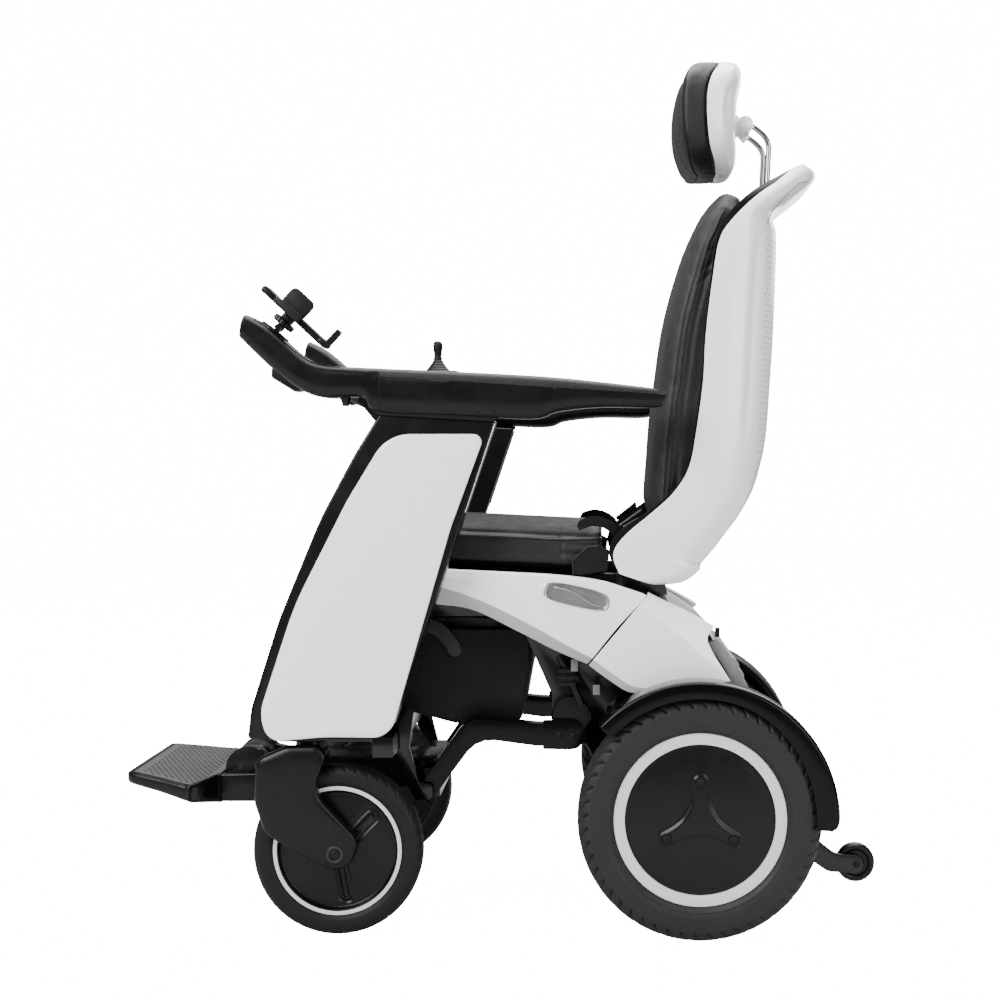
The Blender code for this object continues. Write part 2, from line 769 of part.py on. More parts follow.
def castor_rim():
    """The castor's rim, a thin web between its hub and its ring."""
    profile = [
        (0.0, 0.0160),
        (0.0240, 0.0160),
        (0.0840, 0.0100),
        (0.0880, 0.0195),
        (CASTOR_RIM_RADIUS, 0.0195),
        (CASTOR_RIM_RADIUS, -0.0195),
        (0.0880, -0.0195),
        (0.0840, -0.0100),
        (0.0240, -0.0160),
        (0.0, -0.0160),
    ]
    centre = (CASTOR_X, CASTOR_AXLE_Y, CASTOR_RADIUS)
    return turned("castor_rim_left", profile, centre, "black_plastic", CASTOR_STEPS, closed=False)


def castor_fork():
    """The one-sided fork: an arm outside the wheel, a crown over it and the swivel boss."""
    corners = [
        (-0.3440, 0.262, 0.020),
        (-0.2990, 0.2815, 0.030),
        (-0.2540, 0.2825, 0.012),
        (-0.2400, 0.270, 0.008),
        (-0.2600, 0.216, 0.040),
        (-0.1920, 0.143, 0.020),
        (-0.2060, 0.100, 0.026),
        (-0.2400, 0.103, 0.030),
        (-0.3300, 0.152, 0.030),
        (-0.3460, 0.200, 0.040),
    ]
    arm = plate("castor_fork_left", rounded(corners, 2), 0.2672, 0.2840, "black_plastic")
    round_edges(arm, 0.004)
    crown = box("crown", (0.212, -0.312, 0.2565), (0.275, -0.244, 0.2725))
    boss = upright("swivel_boss", (CASTOR_X, CASTOR_SWIVEL_Y, 0.270), 0.019, 0.0152, "black_steel")
    axle = disc("axle_stub", CASTOR_X + 0.0163, 0.270, (CASTOR_AXLE_Y, CASTOR_RADIUS), 0.011)
    return join(arm, crown, boss, axle)


def anti_tip_arm():
    """The flat arm that carries an anti-tip wheel on the inner side of its end."""
    outline = rounded(
        [
            (0.3565, 0.196, 0.008),
            (0.3565, 0.156, 0.008),
            (0.392, 0.156, 0.010),
            (0.500, 0.083, 0.020),
            (0.553, 0.080, 0.012),
            (0.553, 0.106, 0.012),
            (0.510, 0.110, 0.020),
            (0.412, 0.190, 0.010),
        ],
        steps=2,
    )
    part = plate("anti_tip_arm_left", outline, ANTI_TIP_ARM_X, ANTI_TIP_ARM_X + 0.006)
    hub_face = ANTI_TIP_X + 0.0080
    axle = disc("axle", hub_face + GAP, ANTI_TIP_ARM_X + 0.001, (ANTI_TIP_Y, ANTI_TIP_Z), 0.009, sides=12)
    return join(part, axle)


def anti_tip_wheel():
    """The small solid wheel behind each drive wheel."""
    profile = [
        (0.0, 0.0080),
        (0.0150, 0.0080),
        (0.0240, 0.0100),
        (ANTI_TIP_RADIUS, 0.0065),
        (ANTI_TIP_RADIUS, -0.0065),
        (0.0240, -0.0100),
        (0.0150, -0.0080),
        (0.0, -0.0080),
    ]
    centre = (ANTI_TIP_X, ANTI_TIP_Y, ANTI_TIP_Z)
    return turned("anti_tip_wheel_left", profile, centre, "tyre_rubber", 16, closed=False)


def footplate():
    """The footplate with its hinge knuckle and the two skirts that run back beside it."""
    stations = [
        (-0.5720, 0.122, 0.2120, 0.2080),
        (-0.5705, 0.130, 0.2170, 0.2030),
        (-0.5600, 0.140, 0.2175, 0.1990),
        (-0.5150, 0.156, 0.2110, 0.1900),
        (-0.4740, 0.172, 0.2045, 0.1800),
        (-0.4620, 0.168, 0.2040, 0.1760),
        (-0.4450, 0.095, 0.2045, 0.1620),
        (-0.4388, 0.082, 0.2050, 0.1590),
    ]
    edge = 0.004
    rings = []
    for y, half, top, bottom in stations:
        ease = min(edge, (top - bottom) / 3)
        rings.append(
            [
                (half - ease, y, top),
                (half, y, top - ease),
                (half, y, bottom + ease),
                (half - ease, y, bottom),
                (-half + ease, y, bottom),
                (-half, y, bottom + ease),
                (-half, y, top - ease),
                (-half + ease, y, top),
            ]
        )
    part = loft("footplate", rings, "grey_plastic")
    tongue = box("tongue", (-0.0330, -0.450, 0.178), (0.0330, -0.405, 0.2000))
    pieces = [tongue, disc("knuckle", -0.0350, 0.0350, FOOTPLATE_AXIS, 0.034)]
    for side in (-1, 1):
        pieces.append(box("skirt", *sorted_box(side, 0.0583, 0.0780, -0.4420, -0.3830, 0.1605, 0.2040)))
    return join(part, *pieces)


# Soft pieces

def soft_side(value, corner):
    """A sine or cosine drawn out towards the side of a soft rectangle."""
    return math.copysign(abs(value) ** (2 / corner), value)


def pad_ring(centre, out, half_width, half_depth, crown, corner=5.0, count=20, back_corner=None):
    """One section of a cushion: a soft rectangle across X whose outer face is crowned."""
    centre, out = Vector(centre), Vector(out).normalized()
    ring = []
    for index in range(count):
        angle = 2 * math.pi * (index + 0.5) / count
        squareness = back_corner if back_corner and math.sin(angle) < 0 else corner
        across = soft_side(math.cos(angle), squareness)
        depth = soft_side(math.sin(angle), squareness)
        lift = crown * (1 - across * across) if depth > 0 else 0.0
        ring.append(centre + Vector((half_width * across, 0, 0)) + out * (half_depth * depth + lift))
    return ring


def seat_cushion():
    """Crowned leather cushion with rounded ends."""
    length = SEAT_BACK_Y - SEAT_FRONT_Y
    places = [0.0, 0.003, 0.010, 0.020, 0.034]
    places += [length * share for share in (0.20, 0.35, 0.50, 0.65, 0.80)]
    places += [length - step for step in (0.034, 0.024, 0.015, 0.007, 0.002, 0.0)]
    half = SEAT_THICKNESS / 2
    rings = []
    for along in places:
        end = min(1.0, along / 0.030, (length - along) / 0.022)
        swell = 0.30 + 0.70 * math.sqrt(end)
        y = SEAT_FRONT_Y + along
        base = SEAT_UNDERSIDE_Z + 0.0015 - math.tan(SEAT_TILT) * y
        middle = base + half * swell + 0.15 * half * (1 - swell)
        crown = 0.007 * swell
        width = SEAT_HALF_WIDTH * (0.93 + 0.07 * swell)
        rings.append(pad_ring((0, y, middle), (0, 0, 1), width, half * swell, crown))
    return loft("seat_cushion", rings, "black_leather")


def back_cushion():
    """The back cushion: front face points up the back, and the depth behind each one."""
    front = [
        (0.2400, 0.6020),
        (0.2380, 0.6300),
        (0.2430, 0.7060),
        (0.2480, 0.7650),
        (0.2550, 0.8180),
        (0.2695, 0.9170),
        (0.2970, 1.0190),
        (0.3180, 1.0680),
        (0.3390, 1.1010),
        (0.3630, 1.1178),
    ]
    depths = [0.050, 0.072, 0.080, 0.082, 0.082, 0.080, 0.076, 0.067, 0.048, 0.020]
    widths = [0.185, 0.200, 0.205, 0.205, 0.205, 0.205, 0.203, 0.200, 0.190, 0.168]
    rows = smooth([(*place, depth, width) for place, depth, width in zip(front, depths, widths)], 2)
    rings = []
    for index, (y, z, depth, width) in enumerate(rows):
        before, after = rows[max(index - 1, 0)], rows[min(index + 1, len(rows) - 1)]
        along = Vector((0, after[0] - before[0], after[1] - before[1])).normalized()
        out = Vector((0, -along.z, along.y))
        centre = Vector((0, y, z)) - out * depth / 2
        rings.append(pad_ring(centre, out, width, depth / 2, 0.007, corner=6.0))
    return loft("backrest_cushion", rings, "black_leather")


# The headrest's side view: height, then y of the pad's face, of the seam and of the shell's back
HEADREST_VIEW = (
    (1.1560, 0.3140, 0.3490, 0.3600),
    (1.1590, 0.3050, 0.3495, 0.3680),
    (1.1680, 0.2960, 0.3475, 0.3745),
    (1.1870, 0.2885, 0.3395, 0.3775),
    (1.2120, 0.2820, 0.3305, 0.3765),
    (1.2450, 0.2800, 0.3260, 0.3780),
    (1.2750, 0.2825, 0.3280, 0.3800),
    (1.2990, 0.2900, 0.3360, 0.3850),
    (1.3170, 0.3010, 0.3450, 0.3860),
    (1.3285, 0.3130, 0.3500, 0.3820),
    (1.3335, 0.3250, 0.3510, 0.3700),
)
HEADREST_HALF_WIDTH = 0.125


def headrest_half(z):
    """Half the headrest's width at a height: its front view is a soft oval."""
    low, high = HEADREST_VIEW[0][0] - 0.0012, HEADREST_VIEW[-1][0] + 0.0012
    off_centre = abs(2 * z - low - high) / (high - low)
    return HEADREST_HALF_WIDTH * (1 - off_centre**3) ** (1 / 3)


def headrest_pad():
    """The crowned head cushion, flat behind where it meets its shell."""
    rings = []
    for z, face, seam, _ in HEADREST_VIEW:
        depth = (seam - GAP - face) / 2
        centre = (0, face + depth, z)
        rings.append(pad_ring(centre, (0, -1, 0), headrest_half(z), depth, 0.004, 4.5, 20, 14.0))
    return loft("headrest_pad", rings, "black_leather")


def lap_belt():
    """The webbing loop at the seat's rear corner, which rises over the cushion and rolls outwards."""
    route = [
        (0.1900, 0.5290),
        (0.1960, 0.5580),
        (0.1905, 0.5820),
        (0.1770, 0.5985),
        (0.1570, 0.6050),
        (0.1400, 0.6035),
        (0.1290, 0.5990),
    ]
    spots = smooth(route)
    inner = [(0.1905, y, z) for y, z in spots]
    outer = [(0.2120, y, z - 0.0070 * min(1.0, step / 5)) for step, (y, z) in enumerate(spots)]
    return skin("lap_belt_left", [inner, outer], 0.0025, "webbing")


# Back

def shell_rows():
    """Rows of the backrest shell: front edge (y, z), rear line (y, z), half width and squareness."""
    return [
        ((0.4480, 1.1400), (0.4800, 1.1575), 0.176, 3.4),
        ((0.4300, 1.1240), (0.4980, 1.1410), 0.186, 3.4),
        ((0.3920, 1.0950), (0.4640, 1.1120), 0.202, 3.4),
        ((0.3570, 1.0600), (0.4340, 1.0860), 0.213, 3.0),
        ((0.3380, 1.0300), (0.4370, 1.0500), 0.218, 3.1),
        ((0.3280, 0.9760), (0.4360, 0.9930), 0.220, 3.2),
        ((0.3170, 0.8870), (0.4315, 0.8910), 0.221, 3.3),
        ((0.3130, 0.8180), (0.4270, 0.8280), 0.222, 3.4),
        ((0.3030, 0.7440), (0.4190, 0.7320), 0.222, 3.6),
        ((0.2920, 0.6890), (0.4020, 0.6610), 0.222, 4.0),
        ((0.2700, 0.6520), (0.3770, 0.6150), 0.222, 4.6),
        ((0.2370, 0.6210), (0.3570, 0.5890), 0.222, 5.2),
        ((0.2020, 0.5920), (0.3370, 0.5630), 0.222, 5.6),
        ((0.1830, 0.5700), (0.3110, 0.5350), 0.222, 6.0),
        ((0.1790, 0.5520), (0.2830, 0.5150), 0.222, 6.0),
        ((0.1880, 0.5290), (0.2420, 0.5110), 0.222, 6.0),
    ]


def backrest_shell():
    """The white shell: side walls and back in one sweep, rolled back at the top as a push handle.

    Below the seat's height only its two cheeks go on, so that it clears the base as it reclines.
    """
    columns = 16
    rows = []
    for (front_y, front_z), (rear_y, rear_z), half, squareness in shell_rows():
        row = []
        for column in range(columns + 1):
            angle = math.pi * (column / columns - 0.5)
            back = abs(math.cos(angle)) ** (2 / squareness)
            y = front_y + (rear_y - front_y) * back
            z = front_z + (rear_z - front_z) * back
            row.append((half * soft_side(math.sin(angle), squareness), y, z))
        rows.append(row)
    left_out = {(i, j) for i in (13, 14) for j in range(4, 12)}
    return skin("backrest_shell", rows, SHELL_WALL, "white_plastic", left_out)


def backrest_frame():
    """Two side rails from the hinge up the back, cross plates and the blocks that guide the posts."""
    rail = rounded(
        [
            (0.2120, 0.5720, 0.010),
            (0.2120, 0.5460, 0.016),
            (0.2440, 0.5420, 0.016),
            (0.3100, 0.5900, 0.030),
            (0.3640, 0.7000, 0.100),
            (0.3780, 0.8400, 0.200),
            (0.3970, 1.0100, 0.006),
            (0.3770, 1.0140, 0.006),
            (0.3540, 0.8400, 0.200),
            (0.3400, 0.7100, 0.080),
            (0.3160, 0.6200, 0.020),
            (0.2500, 0.5850, 0.020),
        ],
        steps=2,
    )
    frame = plate("backrest_frame", rail, 0.1870, 0.1950)
    pieces = [plate("rail_right", rail, -0.1950, -0.1870)]
    pieces.append(disc("cross_tube", -0.190, 0.190, (0.268, 0.578), 0.009, sides=16))
    pieces.append(box("cross_plate_low", (-0.190, 0.3500, 0.710), (0.190, 0.3570, 0.750)))
    pieces.append(box("cross_plate_high", (-0.190, 0.3890, 0.970), (0.190, 0.3950, 1.008)))
    pieces.append(box("post_block", (-0.062, 0.3910, 0.985), (0.062, 0.4290, 1.040)))
    lug = [(0.244, 0.480), (0.246, 0.478), (0.256, 0.478), (0.259, 0.480), (0.276, 0.578), (0.260, 0.578)]
    pieces.append(plate("actuator_lug", lug, 0.0125, 0.0185))
    part = join(frame, *pieces)
    bores = []
    for side in (-1, 1):
        low = (side * POST_X, post_y(0.97), 0.97)
        high = (side * POST_X, post_y(1.07), 1.07)
        bores.append(bar("post_bore", low, high, POST_RADIUS + 0.0008))
    return cut(part, *bores)


def post_y(z):
    """The headrest posts lean back by 2.5 degrees and pass (0.4265, 1.150)."""
    return 0.4265 + (z - 1.150) * math.tan(math.radians(2.5))


def headrest_posts():
    """One bent bar: up the right guide, forwards over the back, across, and down the left guide."""
    half = [
        (POST_X, post_y(0.905), 0.905),
        (POST_X, post_y(1.185), 1.185),
        (POST_X, 0.4285, 1.200),
        (POST_X, 0.4240, 1.213),
        (POST_X, 0.4150, 1.223),
        (POST_X, 0.4020, 1.233),
        (POST_X - 0.003, *HEADREST_AXIS),
    ]
    other = [(-x, y, z) for x, y, z in reversed(half)]
    return tube("headrest_posts", half + other, POST_RADIUS, "chrome", 2)


def headrest_shell():
    """The white bowl behind the pad, with the hub that tilts on the posts' cross bar."""
    columns = 10
    rows = []
    for z, _, seam, rear in reversed(HEADREST_VIEW):
        rim = seam + 0.001
        row = []
        for column in range(columns + 1):
            angle = math.pi * (column / columns - 0.5)
            across = soft_side(math.sin(angle), 3.3)
            row.append((headrest_half(z) * across, rim + (rear - rim) * abs(math.cos(angle)) ** 0.6, z))
        rows.append(row)
    part = skin("headrest_shell", rows, 0.003, "white_plastic")
    neck = box("hub_neck", (-0.022, 0.3755, 1.231), (0.022, 0.3930, 1.2495), "white_plastic")
    hub = disc("hub", -0.030, 0.030, HEADREST_AXIS, 0.0125, "white_plastic")
    bore = disc("hub_bore", -0.040, 0.040, HEADREST_AXIS, POST_RADIUS + 0.0007, sides=16)
    return cut(join(part, neck, hub), bore)


def recline_actuator():
    """The linear actuator's housing and barrel, bored for its rod."""
    housing = disc("recline_actuator", -0.0175, 0.0175, ACTUATOR_AXIS, 0.014, sides=20)
    barrel = actuator_bar("actuator_barrel", -0.050, 0.100, 0.0165)
    bore = actuator_bar("actuator_bore", -0.022, 0.140, 0.0088)
    return cut(join(housing, barrel), bore)


def actuator_bar(name, start, end, radius):
    """A bar on the line from the actuator's hinge to the rod's end, between two values of y."""
    slope = (ROD_END[1] - ACTUATOR_AXIS[1]) / (ROD_END[0] - ACTUATOR_AXIS[0])
    ends = [(0.0, y, ACTUATOR_AXIS[1] + slope * (y - ACTUATOR_AXIS[0])) for y in (start, end)]
    return bar(name, *ends, radius)


def recline_rod():
    """The actuator's rod, with the eye that pushes the backrest's lug."""
    rod = actuator_bar("recline_rod", 0.035, 0.246, 0.0078)
    return join(rod, disc("rod_eye", -0.0110, 0.0110, ROD_END, 0.011, sides=20))


# Arms

def arm_stations():
    """Top (y, z) and bottom (y, z) of the armrest from its nose to its tail."""
    return [
        ((-0.3590, 0.9050), (-0.3640, 0.8770)),
        ((-0.3540, 0.9095), (-0.3590, 0.8720)),
        ((-0.3300, 0.8970), (-0.3380, 0.8510)),
        ((-0.3090, 0.8810), (-0.3150, 0.8300)),
        ((-0.2730, 0.8500), (-0.2780, 0.8020)),
        ((-0.2420, 0.8370), (-0.2420, 0.7895)),
        ((-0.1870, 0.8330), (-0.1870, 0.7890)),
        ((-0.1600, 0.8320), (-0.1640, 0.7690)),
        ((-0.0560, 0.8280), (-0.0560, 0.7640)),
        ((0.0550, 0.8220), (0.0600, 0.7585)),
        ((0.0980, 0.8180), (0.0980, 0.7690)),
        ((0.1600, 0.8120), (0.1600, 0.7765)),
        ((0.2390, 0.8040), (0.2390, 0.7810)),
        ((0.2550, 0.7980), (0.2550, 0.7900)),
    ]


# The arm's section: how far down from its top, and the half width there
ARM_SECTION = ((0.0, 0.0190), (0.07, 0.0250), (0.25, 0.0300), (0.70, 0.0295), (0.93, 0.0240), (1.0, 0.0180))


def arm_ring(top, bottom):
    """One section of the armrest, from its top and bottom (y, z) points."""
    top, bottom = Vector((ARM_X, *top)), Vector((ARM_X, *bottom))
    sides = [(top.lerp(bottom, down), Vector((half, 0, 0))) for down, half in ARM_SECTION]
    return [point + half for point, half in sides] + [point - half for point, half in reversed(sides)]


def armrest():
    """The armrest moulding. The elbow pad lies in the step along its top, behind the nose."""
    part = loft("armrest_left", [arm_ring(top, bottom) for top, bottom in arm_stations()], "black_plastic")
    lamp_corners = [
        (-0.3190, 0.8340, 0),
        (-0.3200, 0.8190, 0.006),
        (-0.2840, 0.7970, 0.010),
        (-0.2700, 0.8010, 0),
    ]
    lamp = plate("arm_lamp", rounded(lamp_corners), 0.2582, 0.2818)
    hinge = disc("arm_hinge_barrel", ARM_EARS[0][1], ARM_EARS[1][0], ARM_AXIS, 0.0075, sides=16)
    catch = upright("arm_catch", (ARM_X, -0.213, 0.7775), 0.0045, 0.015, "black_plastic", 12, 0.0080)
    above, front_y, rear_y = 0.88, PAD_FRONT_Y, 0.2700
    corners = [(front_y, pad_base(front_y)), (rear_y, pad_base(rear_y)), (rear_y, above), (front_y, above)]
    tools = [plate("pad_step", corners, ARM_X - 0.040, ARM_X + 0.040)]
    for low, high in ARM_EARS:
        tools.append(disc("ear_slot", low - 0.0005, high + 0.0005, ARM_AXIS, 0.0085, sides=16))
    return cut(join(part, lamp, hinge, catch), *tools)


def pad_base(y):
    """The height of the step under the elbow pad, which falls towards the rear."""
    return 0.8190 - PAD_SLOPE * (y - PAD_FRONT_Y)


def arm_pad():
    """The elbow pad in the armrest's step, thinner and narrower towards its tail."""
    stations = [
        (PAD_FRONT_Y + GAP, 0.8318),
        (-0.0560, 0.8278),
        (0.0760, 0.8208),
        (0.1600, 0.8128),
        (0.2300, 0.8045),
        (0.2440, 0.8020),
    ]
    shoulder = 0.006
    rings = []
    for y, top in stations:
        base = pad_base(y) + GAP
        half = 0.0285 if y < 0.235 else 0.024
        high = max(top, base + 0.004)
        middle = base + 0.55 * (high - base)
        side = [(half - shoulder, high), (half, middle), (half, base)]
        ring = [(ARM_X + x, y, z) for x, z in side]
        rings.append(ring + [(ARM_X - x, y, z) for x, z in reversed(side)])
    return loft("arm_pad_left", rings, "black_leather")


def joystick_pod():
    """The control pod on the right armrest: a well with the stick's post, and wells for its buttons."""
    x, y, z = JOYSTICK_PIVOT
    top, floor = 0.8585, 0.8365
    front, rear = y - 0.075, y + 0.045
    outline = rounded(
        [
            (front, top, 0.010),
            (front, 0.8348, 0.003),
            (y - 0.029, 0.8326, 0.0),
            (rear, 0.8297, 0.003),
            (rear, top, 0.012),
        ]
    )
    pod = plate("joystick_pod", outline, x - 0.030, x + 0.030, "black_plastic", 0.003)
    wells = [upright("stick_well", (x, y, floor), 0.0262, 0.050, "black_plastic", 28)]
    for name, place, size in control_places():
        wells.append(box(name + "_well", *control_box(place, size, 0.0005, 0.8520, 0.8700)))
    foot, tip = floor - 0.001, z - 0.004
    post = upright("stick_post", (x, y, foot), 0.006, tip - foot, "black_plastic", 12, top_radius=0.002)
    return join(cut(pod, *wells), post)


def control_places():
    """Centre (x, y) and half sizes of the pod's two buttons and its rocker."""
    x, y, _ = JOYSTICK_PIVOT
    return [
        ("power_button", (x + 0.016, y - 0.052), (0.006, 0.006)),
        ("horn_button", (x - 0.016, y - 0.052), (0.006, 0.006)),
        ("recline_switch", (x, y - 0.052), (0.006, 0.010)),
    ]


def control_box(place, size, margin, low, high):
    x, y = place
    half_x, half_y = size
    first = (x - half_x - margin, y - half_y - margin, low)
    return first, (x + half_x + margin, y + half_y + margin, high)


def controls():
    """The power and horn buttons and the recline rocker, each just over the pod's top."""
    for name, place, size in control_places():
        low = 0.8540 if name == "recline_switch" else 0.8538
        box(name, *control_box(place, size, 0.0, low, 0.8605), "grey_plastic", 0.001)


def on_dome(radius, degrees):
    """A point of the dome's profile: its distance from the axis and its height over the pivot."""
    return radius * math.cos(math.radians(degrees)), radius * math.sin(math.radians(degrees))


def joystick_stick():
    """The grip on its domed boot. The dome is a ball cap about the pivot, so it turns in place."""
    x, y, z = JOYSTICK_PIVOT
    outer_radius, inner_radius = 0.0245, 0.0215
    grip = [(0.0, 0.0555), (0.0050, 0.0545), (0.0080, 0.0510), (0.0085, 0.0460), (0.0070, 0.0290)]
    outside = [on_dome(outer_radius, angle) for angle in (72, 54, 36, 18, 0)]
    inside = [on_dome(inner_radius, angle) for angle in (0, 30, 60)] + [(0.0, inner_radius)]
    bm = bmesh.new()
    points = [bm.verts.new((radius, 0.0, up)) for radius, up in grip + outside + inside]
    for first, second in zip(points, points[1:]):
        bm.edges.new((first, second))
    stick = from_bmesh("joystick_stick", bm, "black_plastic")
    stick.location = (x, y, z)
    screw = stick.modifiers.new("turn", "SCREW")
    screw.steps = 16
    screw.render_steps = 16
    screw.use_merge_vertices = True
    screw.merge_threshold = 1e-5
    return stick


def joystick_gimbal():
    """The small ring on the pod's post that the stick rocks across."""
    x, y, z = JOYSTICK_PIVOT
    return upright("joystick_gimbal", (x, y, z - 0.003), 0.010, 0.006, "black_steel", 16)


def in_cradle(along, out):
    """A point (y, z) of the phone cradle, from its hinge: along the back bar, and out to the phone."""
    run = Vector((math.cos(CRADLE_SLOPE), -math.sin(CRADLE_SLOPE)))
    face = Vector((math.sin(CRADLE_SLOPE), math.cos(CRADLE_SLOPE)))
    return tuple(Vector(CRADLE_AXIS) + run * along + face * out)


def cradle_block(name, along, out, x_low, x_high, finish="black_plastic", corner=0.0, rounding=0.0):
    """A block of the phone holder between two values along the bar and two out from the hinge."""
    corners = [(along[0], out[0]), (along[1], out[0]), (along[1], out[1]), (along[0], out[1])]
    outline = rounded([(*in_cradle(*place), corner) for place in corners])
    return plate(name, outline, x_low, x_high, finish, rounding)


def phone_mount():
    """The foot on the left armrest's slope, with the eye that the cradle tilts on."""
    underside = [(-0.3330, 0.8998), (-0.3090, 0.8815), (-0.2990, 0.8729)]
    sole = underside + [(-0.2980, 0.8745), (-0.3080, 0.8832), (-0.3320, 0.9017)]
    foot = plate("phone_mount", sole, 0.258, 0.282, "black_plastic")
    neck = cradle_block("neck", (-0.0040, 0.0040), (-0.0076, 0.0), 0.2655, 0.2745)
    return join(foot, neck, disc("stem_eye", 0.2650, 0.2750, CRADLE_AXIS, 0.0048, "black_plastic", 16))


def phone_cradle():
    """Back bar, bottom hook, clamp knob and the two ears that hold the foot's eye between them."""
    part = cradle_block("phone_cradle", (-0.056, 0.0717), (0.0220, 0.0330), 0.254, 0.286, corner=0.0045)
    knob_ends = [(ARM_X, *in_cradle(0, out)) for out in (0.0054, 0.0140)]
    pieces = [
        cradle_block("hook", (0.0645, 0.0712), (0.0240, 0.0575), 0.257, 0.283, corner=0.002),
        bar("clamp_knob", *knob_ends, 0.0180, "black_plastic", 8),
        cradle_block("knob_neck", (-0.0090, 0.0090), (0.0120, 0.0240), 0.2620, 0.2780),
    ]
    for low, high in ((0.2575, 0.2642), (0.2758, 0.2825)):
        pieces.append(cradle_block("ear", (-0.0042, 0.0042), (0.0, 0.0090), low + 0.0005, high - 0.0005))
        pieces.append(disc("ear_end", low, high, CRADLE_AXIS, 0.0048, "black_plastic", 16))
    return join(part, *pieces)


def phone_jaw():
    """The padded jaw that slides out along X from the cradle's outer edge to grip a phone's side."""
    grip = cradle_block("phone_jaw", (-0.021, 0.021), (0.0290, 0.0620), 0.2875, 0.2945, "grey_plastic", 0.009)
    base = cradle_block("jaw_base", (-0.019, 0.019), (0.0240, 0.0370), 0.2868, 0.3010, "grey_plastic", 0.003)
    return join(grip, base)


# Assembly

def pivot(name, place):
    """An empty on a joint's axis, which its moving pieces hang from."""
    empty = bpy.data.objects.new(name, None)
    empty.location = place
    PARTS.objects.link(empty)
    return empty


def hang(empty, *parts):
    bpy.context.view_layer.update()
    for part in parts:
        place = part.matrix_world.copy()
        part.parent = empty
        part.matrix_parent_inverse = empty.matrix_world.inverted()
        part.matrix_world = place


def both(left):
    return left, right_hand_copy(left)


def build_base():
    seat_frame()
    front_frame()
    battery_box()
    battery_pack()
    top_cover()
    tail_panel()
    seat_cushion()
    paired = (lower_tube, front_side_cover, rear_side_cover, pillar, pillar_panel)
    paired += (fender, drive_motor, anti_tip_arm, lap_belt)
    for make in paired:
        both(make())
    hang(pivot("lever_pivot", (0.122, *LEVER_AXIS)), battery_lever())
    hang(pivot("footplate_pivot", (0.0, *FOOTPLATE_AXIS)), footplate())


def build_wheels():
    tyres, rims = both(drive_tyre()), both(drive_rim())
    castor_tyres, castor_rims = both(castor_tyre()), both(castor_rim())
    forks = both(castor_fork())
    rollers = both(anti_tip_wheel())
    for index, (tag, side) in enumerate((("left", 1), ("right", -1))):
        hang(pivot("drive_axle_" + tag, (side * DRIVE_X, DRIVE_Y, DRIVE_RADIUS)), tyres[index], rims[index])
        swivel = pivot("castor_swivel_" + tag, (side * CASTOR_X, CASTOR_SWIVEL_Y, 0.272))
        axle = pivot("castor_axle_" + tag, (side * CASTOR_X, CASTOR_AXLE_Y, CASTOR_RADIUS))
        hang(swivel, forks[index], axle)
        hang(axle, castor_tyres[index], castor_rims[index])
        hang(pivot("anti_tip_axle_" + tag, (side * ANTI_TIP_X, ANTI_TIP_Y, ANTI_TIP_Z)), rollers[index])


def build_back():
    recline = pivot("recline_axis", (0.0, *RECLINE_AXIS))
    hang(recline, backrest_shell(), backrest_frame(), back_cushion())
    height = pivot("headrest_height", (0.0, post_y(1.02), 1.02))
    tilt = pivot("headrest_tilt", (0.0, *HEADREST_AXIS))
    hang(height, headrest_posts())
    hang(tilt, headrest_shell(), headrest_pad())
    hang(height, tilt)
    hang(recline, height)
    hang(pivot("actuator_hinge", (0.0, *ACTUATOR_AXIS)), recline_actuator())
    hang(pivot("rod_slide", (0.0, *ROD_END)), recline_rod())


def build_arms():
    arms, pads = both(armrest()), both(arm_pad())
    sides = (("left", 1), ("right", -1))
    flips = [pivot("arm_flip_" + tag, (side * ARM_X, *ARM_AXIS)) for tag, side in sides]
    cradle = pivot("cradle_hinge", (ARM_X, *CRADLE_AXIS))
    hang(cradle, phone_cradle(), phone_jaw())
    hang(flips[0], arms[0], pads[0], phone_mount(), cradle)
    stick = pivot("stick_pivot", JOYSTICK_PIVOT)
    hang(stick, joystick_gimbal(), joystick_stick())
    controls()
    hang(flips[1], arms[1], pads[1], joystick_pod(), stick)
    hang(flips[1], *(bpy.data.objects[name] for name, _, _ in control_places()))


def shade_round_pieces():
    for part in PARTS.objects:
        if part.type == "MESH":
            part.data.shade_smooth()
            part.data.set_sharp_from_angle(angle=math.radians(35))


build_base()
build_wheels()
build_back()
build_arms()
shade_round_pieces()
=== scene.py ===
"""Looks of the reclining power wheelchair, built around its packed frame. All sizes are in metres.

The rider faces -Y, +X is the rider's left and +Z is up. Left-hand pieces are made at +X, and
the right-hand ones are their mirror images.
"""

import math

import bmesh
import bpy
import numpy as np
from bpy.props import FloatProperty, FloatVectorProperty, IntProperty, PointerProperty
from mathutils import Matrix, Vector, noise
from mathutils.bvhtree import BVHTree


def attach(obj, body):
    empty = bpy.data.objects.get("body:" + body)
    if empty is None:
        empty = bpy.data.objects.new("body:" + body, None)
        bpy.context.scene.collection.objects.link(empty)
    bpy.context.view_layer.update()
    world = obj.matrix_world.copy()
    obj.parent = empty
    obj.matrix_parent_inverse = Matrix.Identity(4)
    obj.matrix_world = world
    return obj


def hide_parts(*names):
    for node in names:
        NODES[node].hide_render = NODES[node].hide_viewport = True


bl_info = {
    "name": "Reclining Power Wheelchair Looks",
    "version": (1, 0, 0),
    "blender": (4, 5, 0),
    "location": "3D View > Sidebar > Wheelchair",
    "description": "Builds the visible covers, cushions, wheels and trim of a reclining power wheelchair",
    "category": "Object",
}

